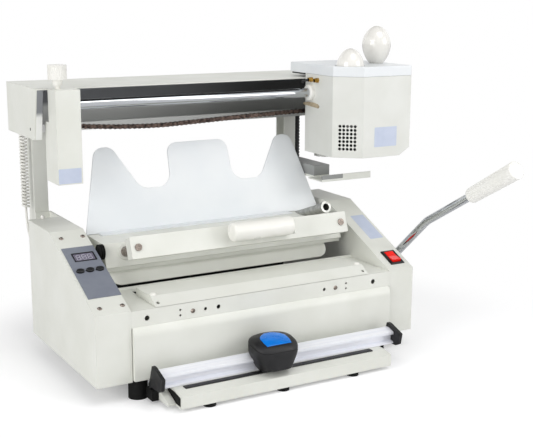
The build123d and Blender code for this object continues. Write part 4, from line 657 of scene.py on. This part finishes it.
def makeChain():
    tree, given = newTree(
        "linksAlongPath",
        (
            ("Pitch", "NodeSocketFloat"), ("Inner Link", "NodeSocketObject"),
            ("Outer Link", "NodeSocketObject"), ("Finish", "NodeSocketMaterial"),
        ),
    )
    pins = addNode(
        tree, "GeometryNodeCurveToPoints", {"mode": "LENGTH"},
        {"Curve": given["Geometry"], "Length": given["Pitch"]},
    )
    along = addNode(
        tree, "FunctionNodeAlignRotationToVector", {"axis": "X"}, {"Vector": pins.outputs["Tangent"]}
    )
    count = addNode(tree, "GeometryNodeInputIndex")
    odd = addNode(tree, "ShaderNodeMath", {"operation": "MODULO"}, {0: count.outputs[0], 1: 2.0})
    even = addNode(tree, "ShaderNodeMath", {"operation": "SUBTRACT"}, {0: 1.0, 1: odd.outputs[0]})
    laid = []
    for label, chosen in (("Inner Link", odd), ("Outer Link", even)):
        link = addNode(tree, "GeometryNodeObjectInfo", None, {"Object": given[label]})
        laid.append(
            addNode(
                tree,
                "GeometryNodeInstanceOnPoints",
                None,
                {
                    "Points": pins.outputs["Points"], "Selection": chosen.outputs[0],
                    "Instance": link.outputs["Geometry"], "Rotation": along.outputs[0],
                },
            )
        )
    joined = addNode(tree, "GeometryNodeJoinGeometry")
    for one in laid:
        tree.links.new(one.outputs[0], joined.inputs[0])
    closeTree(tree, joined.outputs[0], given["Finish"])

    path = bpy.data.curves.new("chainPath", "CURVE")
    path.dimensions = "3D"
    line = path.splines.new("POLY")
    steps = 60
    line.points.add(steps)
    for step, point in enumerate(line.points):
        x = chain["left"] + (chain["right"] - chainLink["pitch"] - chain["left"]) * step / steps
        point.co = (*(spot(x, chain["y"], chainHeight(x)) * 1000), 1)
    values = {
        "Pitch": chainLink["pitch"],
        "Inner Link": template("innerLink", linkShape(chainLink["innerGap"], True)),
        "Outer Link": template("outerLink", linkShape(chainLink["outerGap"], False)),
        "Finish": chainSteel,
    }
    mesh = growMesh(bpy.data.objects.new("chainPath", path), tree, values)
    finishPiece(
        "roller_chain", mesh, Matrix.Scale(0.001, 4), chainSteel, "frame", ("drive_chain",)
    )


makeChain()
print("chain linked")


# Cables from the beam to the cabinets: a spiral wrapped one on the left, one in ribbed conduit on the right
spiral = {
    "x": -203.0, "y": 265.0, "bottom": 174.6, "height": 95.0, "turns": 23.2, "radius": 3.6, "strand": 1.55,
    "cable": 1.5,
}
conduit = {
    "x": 198.0, "y": 265.0, "top": 270.0, "pitch": 4.4, "ribs": 21, "outer": 4.85, "root": 4.1, "bore": 3.3,
    "cable": 2.8,
}
# both are held at their ends: straight down from the beam, then round into the cabinet's back
cablePath = [(265, 278), (265, 214), (265, 150), (243, 128), (176, 128)]


def makeSpiral():
    tree, given = newTree(
        "spiralWrap",
        (
            ("Turns", "NodeSocketFloat"), ("Radius", "NodeSocketFloat"), ("Height", "NodeSocketFloat"),
            ("Strand", "NodeSocketFloat"), ("Finish", "NodeSocketMaterial"),
        ),
    )
    turns = {
        "Resolution": 20, "Rotations": given["Turns"], "Start Radius": given["Radius"],
        "End Radius": given["Radius"], "Height": given["Height"],
    }
    wound = addNode(tree, "GeometryNodeCurveSpiral", None, turns)
    section = addNode(
        tree, "GeometryNodeCurvePrimitiveCircle", None, {"Resolution": 10, "Radius": given["Strand"]}
    )
    tube = addNode(
        tree, "GeometryNodeCurveToMesh", None,
        {"Curve": wound.outputs[0], "Profile Curve": section.outputs[0], "Fill Caps": True},
    )
    closeTree(tree, tube.outputs[0], given["Finish"])
    values = {
        "Turns": spiral["turns"], "Radius": spiral["radius"], "Height": spiral["height"],
        "Strand": spiral["strand"], "Finish": spiralPe,
    }
    mesh = growMesh(bpy.data.objects.new("spiralCarrier", bpy.data.meshes.new("spiralCarrier")), tree, values)
    finishPiece(
        "spiral_wrap", mesh, standing(spot(spiral["x"], spiral["y"], spiral["bottom"])), spiralPe, "frame",
    )


def bentTube(name, places, radius, steps):
    # a round tube through the places, as a plain mesh in metres
    curve = bpy.data.curves.new(name, "CURVE")
    curve.dimensions = "3D"
    line = curve.splines.new("NURBS")
    line.points.add(len(places) - 1)
    for point, place in zip(line.points, places):
        point.co = (*spot(*place), 1)
    line.order_u = 3
    line.use_endpoint_u = True
    line.resolution_u = steps
    curve.bevel_depth = radius / 1000
    curve.bevel_resolution = 4
    curve.use_fill_caps = True
    holder = bpy.data.objects.new(name + "Path", curve)
    bpy.context.scene.collection.objects.link(holder)
    shown = bpy.context.evaluated_depsgraph_get()
    mesh = bpy.data.meshes.new_from_object(holder.evaluated_get(shown), depsgraph=shown)
    bpy.data.objects.remove(holder)
    return mesh


def makeCable(name, x, radius, finish):
    tube = bentTube(name, [(x, y, z) for y, z in cablePath], radius, 12)
    return finishPiece(name, tube, Matrix.Identity(4), finish, "frame")


def makeConduit():
    low = conduit["top"] - conduit["pitch"] * conduit["ribs"]
    root, outer, bore, pitch = (conduit[key] for key in ("root", "outer", "bore", "pitch"))
    rib = latheShape(
        [
            (bore, 0), (root, 0), (outer, 0.25 * pitch), (outer, 0.7 * pitch), (root, 0.95 * pitch),
            (root, pitch), (bore, pitch), (bore, 0),
        ],
        20,
    )
    bmesh.ops.remove_doubles(rib, verts=rib.verts, dist=0.001)
    bmesh.ops.recalc_face_normals(rib, faces=rib.faces)
    places = [
        (spot(conduit["x"], conduit["y"], low + pitch * count), Matrix.Identity(4))
        for count in range(conduit["ribs"])
    ]
    repeatPiece("ribbed_conduit", rib, places, conduitPp, "frame")


makeSpiral()
leftCable = makeCable("left_cable", spiral["x"], spiral["cable"], spiralPe)
makeCable("right_cable", conduit["x"], conduit["cable"], conduitPp)
makeConduit()
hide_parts("cable_looms")
print("cables run")


# Display on the control panel: a black frame, grey glass and plain figures
display = {
    "x": -190.25,
    "along": 101.75,
    "seat": 0.5,
    "width": 26.5,
    "height": 15.5,
    "rim": 1.3,
    "rimHeight": 0.95,
    "glass": 0.25,
    "figure": 8.4,
    "figureGap": 2.6,
    "stroke": 0.9,
    "ink": 0.12,
    "figures": "888",
}


def makeDisplay():
    outer = roundedOutline(display["width"], display["height"], 0.8)
    inner = roundedOutline(display["width"] - 2 * display["rim"], display["height"] - 2 * display["rim"], 0.4)
    ring = bmesh.new()
    levels = []
    for outline, lift in (
        (outer, 0.0), (outer, display["rimHeight"]), (inner, display["rimHeight"]), (inner, 0.0)
    ):
        levels.append([ring.verts.new((x, y, lift)) for x, y in outline])
    joinRings(ring, levels + levels[:1])
    bmesh.ops.recalc_face_normals(ring, faces=ring.faces)
    base = onSlant(display["x"], display["along"], display["seat"])
    finishPiece("display_frame", ring, standing(base, slantTurn), blackNylon, "frame")
    glass = plateShape(inner, display["glass"], 0)
    finishPiece("display_glass", glass, standing(base, slantTurn), lcdGlass, "frame")
    size, thick = display["figure"], display["stroke"]
    wide = size * 0.5
    bars = [(0, size / 2, True), (0, 0, True), (0, -size / 2, True)]  # place and whether it lies flat
    bars += [(x * wide / 2, y * size / 4, False) for x in (-1, 1) for y in (-1, 1)]
    places = []
    for count in range(len(display["figures"])):
        left = (count - 1) * (wide + display["figureGap"])
        for x, y, flat in bars:
            turned = slantTurn @ (Matrix.Identity(4) if flat else Matrix.Rotation(math.pi / 2, 4, "Z"))
            shift = slantTurn @ Vector(((left + x) / 1000, y / 1000, display["glass"] / 1000))
            places.append((base + shift, turned))
    half = wide / 2 - 0.3
    tip = half - thick / 2
    outline = [
        (-half, 0), (-tip, -thick / 2), (tip, -thick / 2), (half, 0), (tip, thick / 2), (-tip, thick / 2)
    ]
    stroke = plateShape(outline, display["ink"], 0)
    repeatPiece("display_figures", stroke, places, lcdInk, "frame")


makeDisplay()
print("display set")


# Blank labels, each on the face that carries it
labels = {
    "carriage_label": {
        "centre": spot(218.2, 77.5, 259.0), "turned": frontTurn, "size": (35.0, 25.5), "body": "carriage"
    },
    "box_label": {
        "centre": spot(-185.5, 143.0, 231.0), "turned": frontTurn, "size": (27.6, 17.6), "body": "frame"
    },
    "cabinet_label": {
        "centre": onSlant(196.0, 91.0, 0.0), "turned": slantTurn, "size": (20.0, 52.0), "body": "frame"
    },
}
labelSheet = {"corner": 0.8, "thick": 0.18}
for name, label in labels.items():
    paper = plateShape(roundedOutline(*label["size"], labelSheet["corner"]), labelSheet["thick"], 0)
    finishPiece(
        name, paper, standing(label["centre"], label["turned"]), labelPaper, label["body"]
    )
print("labels laid")


# Creasing head: a rounded grip over the rail, with a blue insert
head = {
    "x": -17.0,
    "front": -60.0,
    "back": -14.0,
    "half": 27.0,
    "top": 61.5,
    "ridge": -30.0,  # the top falls away from here: to the front, to the back and to both sides
    "frontFall": 8.5,
    "backFall": 3.0,
    "sideFall": 3.0,
    "crown": -37.0,
    "insertMiddle": -41.0,
    "sides": 64,
}
# below the rim: height, half width and how far each level draws in at the front and back
headLevels = [
    (22.8, 16.0, 1.6), (24.2, 17.0, 0.6), (32.0, 21.4, 0.3), (40.0, 25.4, 0.1), (44.5, 27.0, 0.0),
    (46.5, 27.0, 0.0),
]
# over the rim, with its seam: half width, draw and how far below the top
headRims = [
    (27.0, 0.0, 5.2), (26.3, 0.7, 4.9), (26.3, 0.7, 4.5), (27.0, 0.0, 4.2), (26.8, 0.3, 3.0),
    (26.2, 0.9, 1.7), (24.8, 2.2, 0.6), (22.5, 4.4, 0.1), (15.0, 10.0, 0.0), (7.0, 16.0, 0.0),
]
insertOutline = [
    (-15.6, -53), (-8, -53.8), (0, -54), (8, -53.8), (15.6, -53), (16.6, -47), (16.5, -41), (16.2, -37),
    (13.2, -32.5), (9, -29), (5.5, -26.6), (3, -25.8), (-3, -25.8), (-5.5, -26.6), (-9, -29), (-13.2, -32.5),
    (-16.2, -37), (-16.5, -41), (-16.6, -47),
]


# what the head leaves free: the rail as (y, z), the wheel and the lower front edge as (x, y)
railCut = [
    (-18.6, 39.9), (-23.05, 39.9), (-33.4, 36.7), (-33.4, 32.7), (-27.9, 30.7), (-27.9, 25.3), (-33.4, 23.8),
    (-33.4, 20.0), (-18.6, 20.0),
]
wheelWell = {"outline": [(-9, -46.5), (9, -46.5), (9, -39.5), (-9, -39.5)], "height": 20}
skirtCut = {"outline": [(-40, -70), (40, -70), (40, -46), (-40, -46)], "height": 7}
cutBase = 20.0
# the insert's steps from its sunk rim to its flat middle: share of the outline and lift over the top
insertSteps = [(1.0, -0.4), (1.0, 0.35), (0.97, 0.6), (0.8, 0.75), (0.55, 0.8), (0.28, 0.8)]


def headTop(x, y):
    toFront, toBack = head["ridge"] - head["front"], head["back"] - head["ridge"]
    if y < head["ridge"]:
        fall = head["frontFall"] * ((head["ridge"] - y) / toFront) ** 2
    else:
        fall = head["backFall"] * ((y - head["ridge"]) / toBack) ** 2
    return head["top"] - fall - head["sideFall"] * (x / head["half"]) ** 2


def headRing(shape, half, inset, height):
    # one level of the head: a squared ellipse, flatter at the front
    ring = []
    middle, depth = (head["front"] + head["back"]) / 2, (head["back"] - head["front"]) / 2 - inset
    for k in range(head["sides"]):
        angle = math.tau * k / head["sides"]
        c, s = math.cos(angle), math.sin(angle)
        power = 3.4 if s < 0 else 2.5
        x = half * math.copysign(abs(c) ** (2 / power), c)
        y = middle + depth * math.copysign(abs(s) ** (2 / power), s)
        ring.append(shape.verts.new((x, y, height(x, y) if callable(height) else height)))
    return ring


def makeHead():
    shape = bmesh.new()
    rings = [headRing(shape, half, inset, height) for height, half, inset in headLevels]
    for half, inset, drop in headRims:
        rings.append(headRing(shape, half, inset, lambda x, y, drop=drop: headTop(x, y) - drop))
    joinRings(shape, rings)
    shape.faces.new(rings[0][::-1])
    crown = shape.verts.new((0, head["crown"], headTop(0, head["crown"])))
    for k in range(head["sides"]):
        shape.faces.new((rings[-1][k], rings[-1][(k + 1) % head["sides"]], crown))
    bmesh.ops.recalc_face_normals(shape, faces=shape.faces)
    solid = template("headSolid", shape)
    channel = bmesh.new()
    ends = [[channel.verts.new((x, y, z)) for y, z in railCut] for x in (-40, 40)]
    channel.faces.new(ends[0])
    channel.faces.new(ends[1][::-1])
    for k in range(len(railCut)):
        n = (k + 1) % len(railCut)
        channel.faces.new((ends[0][k], ends[1][k], ends[1][n], ends[0][n]))
    bmesh.ops.recalc_face_normals(channel, faces=channel.faces)
    cutters = [template("railChannel", channel)]
    for name, opening in (("wheelWell", wheelWell), ("skirtCut", skirtCut)):
        block = plateShape(opening["outline"], opening["height"], 0)
        block.transform(Matrix.Translation((0, 0, cutBase)))
        cutters.append(template(name, block))
    bpy.context.scene.collection.objects.link(solid)
    for cutter in cutters:
        bpy.context.scene.collection.objects.link(cutter)
        cut = solid.modifiers.new("cut", "BOOLEAN")
        cut.operation, cut.solver, cut.object = "DIFFERENCE", "EXACT", cutter
    shown = bpy.context.evaluated_depsgraph_get()
    mesh = bpy.data.meshes.new_from_object(solid.evaluated_get(shown), depsgraph=shown)
    for spent in (*cutters, solid):
        bpy.data.objects.remove(spent)
    place = Matrix.Translation(spot(head["x"], 0, 0)) @ Matrix.Scale(0.001, 4)
    finishPiece("crease_head_grip", mesh, place, blackNylon, "head", ("creaser_head",))

    insert = bmesh.new()
    smooth = []
    for k, (x, y) in enumerate(insertOutline):
        nx, ny = insertOutline[(k + 1) % len(insertOutline)]
        smooth += [(x, y), ((x + nx) / 2, (y + ny) / 2)]
    rings = []
    middle = head["insertMiddle"]
    for share, lift in insertSteps:
        ring = []
        for x, y in smooth:
            px, py = x * share, middle + (y - middle) * share
            ring.append(insert.verts.new((px, py, headTop(px, py) + lift)))
        rings.append(ring)
    joinRings(insert, rings)
    insert.faces.new(rings[-1])
    insert.faces.new(rings[0][::-1])
    bmesh.ops.recalc_face_normals(insert, faces=insert.faces)
    finishPiece("head_insert", insert, place, blueAcrylic, "head")


makeHead()
print("creasing head shaped")


# Small fasteners: the screw on the beam's left end and the stud over the left cabinet
def domedHead(radius, height):
    profile = [
        (0, 0), (radius, 0), (radius, 0.45 * height), (0.82 * radius, 0.85 * height), (0.5 * radius, height),
        (0, height),
    ]
    return latheShape(profile, 20)


fasteners = {
    "beam_screw": {
        "radius": 3.6,
        "height": 1.8,
        "finish": blackOxide,
        "slot": "dull_steel",
        "places": [(spot(-212.25, 196.4, 281.5), Matrix.Rotation(-math.pi / 2, 4, "Y"))],
    },
    "cabinet_top_stud": {
        "radius": 2.5,
        "height": 4.0,
        "finish": whiteAbs,
        "slot": "white_plastic",
        "places": [(spot(-195.8, 221.0, 167.0), Matrix.Identity(4))],
    },
}
for name, made in fasteners.items():
    repeatPiece(
        name, domedHead(made["radius"], made["height"]), made["places"], made["finish"], "frame"
    )
print("fasteners set")


# Lead from the rear gland to a clip on the carriage's back wall, and the fibre tab below the rod
lead = {
    "radius": 1.5,
    "points": [
        (146.0, 153.0, 329.0), (142.5, 154.0, 328.6), (142.0, 160.0, 327.0), (145.5, 167.0, 324.8),
        (153.5, 172.5, 324.0),
    ],
}
leadClip = {"place": (157.0, 177.0, 323.0), "size": (9.0, 9.5), "corner": 1.5, "thick": 8.0, "edge": 1.0}
fibreTab = {
    "place": (152.5, 153.0, 296.5),
    "outline": [
        (-19, 1.5), (-8, 3.2), (6, 3.0), (16, 1.6), (19, -1.0), (16.5, -3.4), (4, -2.6), (-8, -1.8),
        (-19, -1.5),
    ],
    "thick": 1.2,
    "edge": 0.3,
}


def makeLead():
    tube = bentTube("glandLead", lead["points"], lead["radius"], 10)
    finishPiece("gland_lead", tube, Matrix.Identity(4), conduitPp, "carriage")
    clip = plateShape(
        roundedOutline(*leadClip["size"], leadClip["corner"]), leadClip["thick"], leadClip["edge"]
    )
    finishPiece(
        "lead_clip", clip, standing(spot(*leadClip["place"]), frontTurn), blackNylon, "carriage",
    )
    tab = plateShape(fibreTab["outline"], fibreTab["thick"], fibreTab["edge"])
    side = Matrix.Rotation(-math.pi / 2, 4, "Z") @ frontTurn
    finishPiece(
        "fibre_tab", tab, standing(spot(*fibreTab["place"]), side), tanFibre, "carriage"
    )


makeLead()
print("lead and tab added")
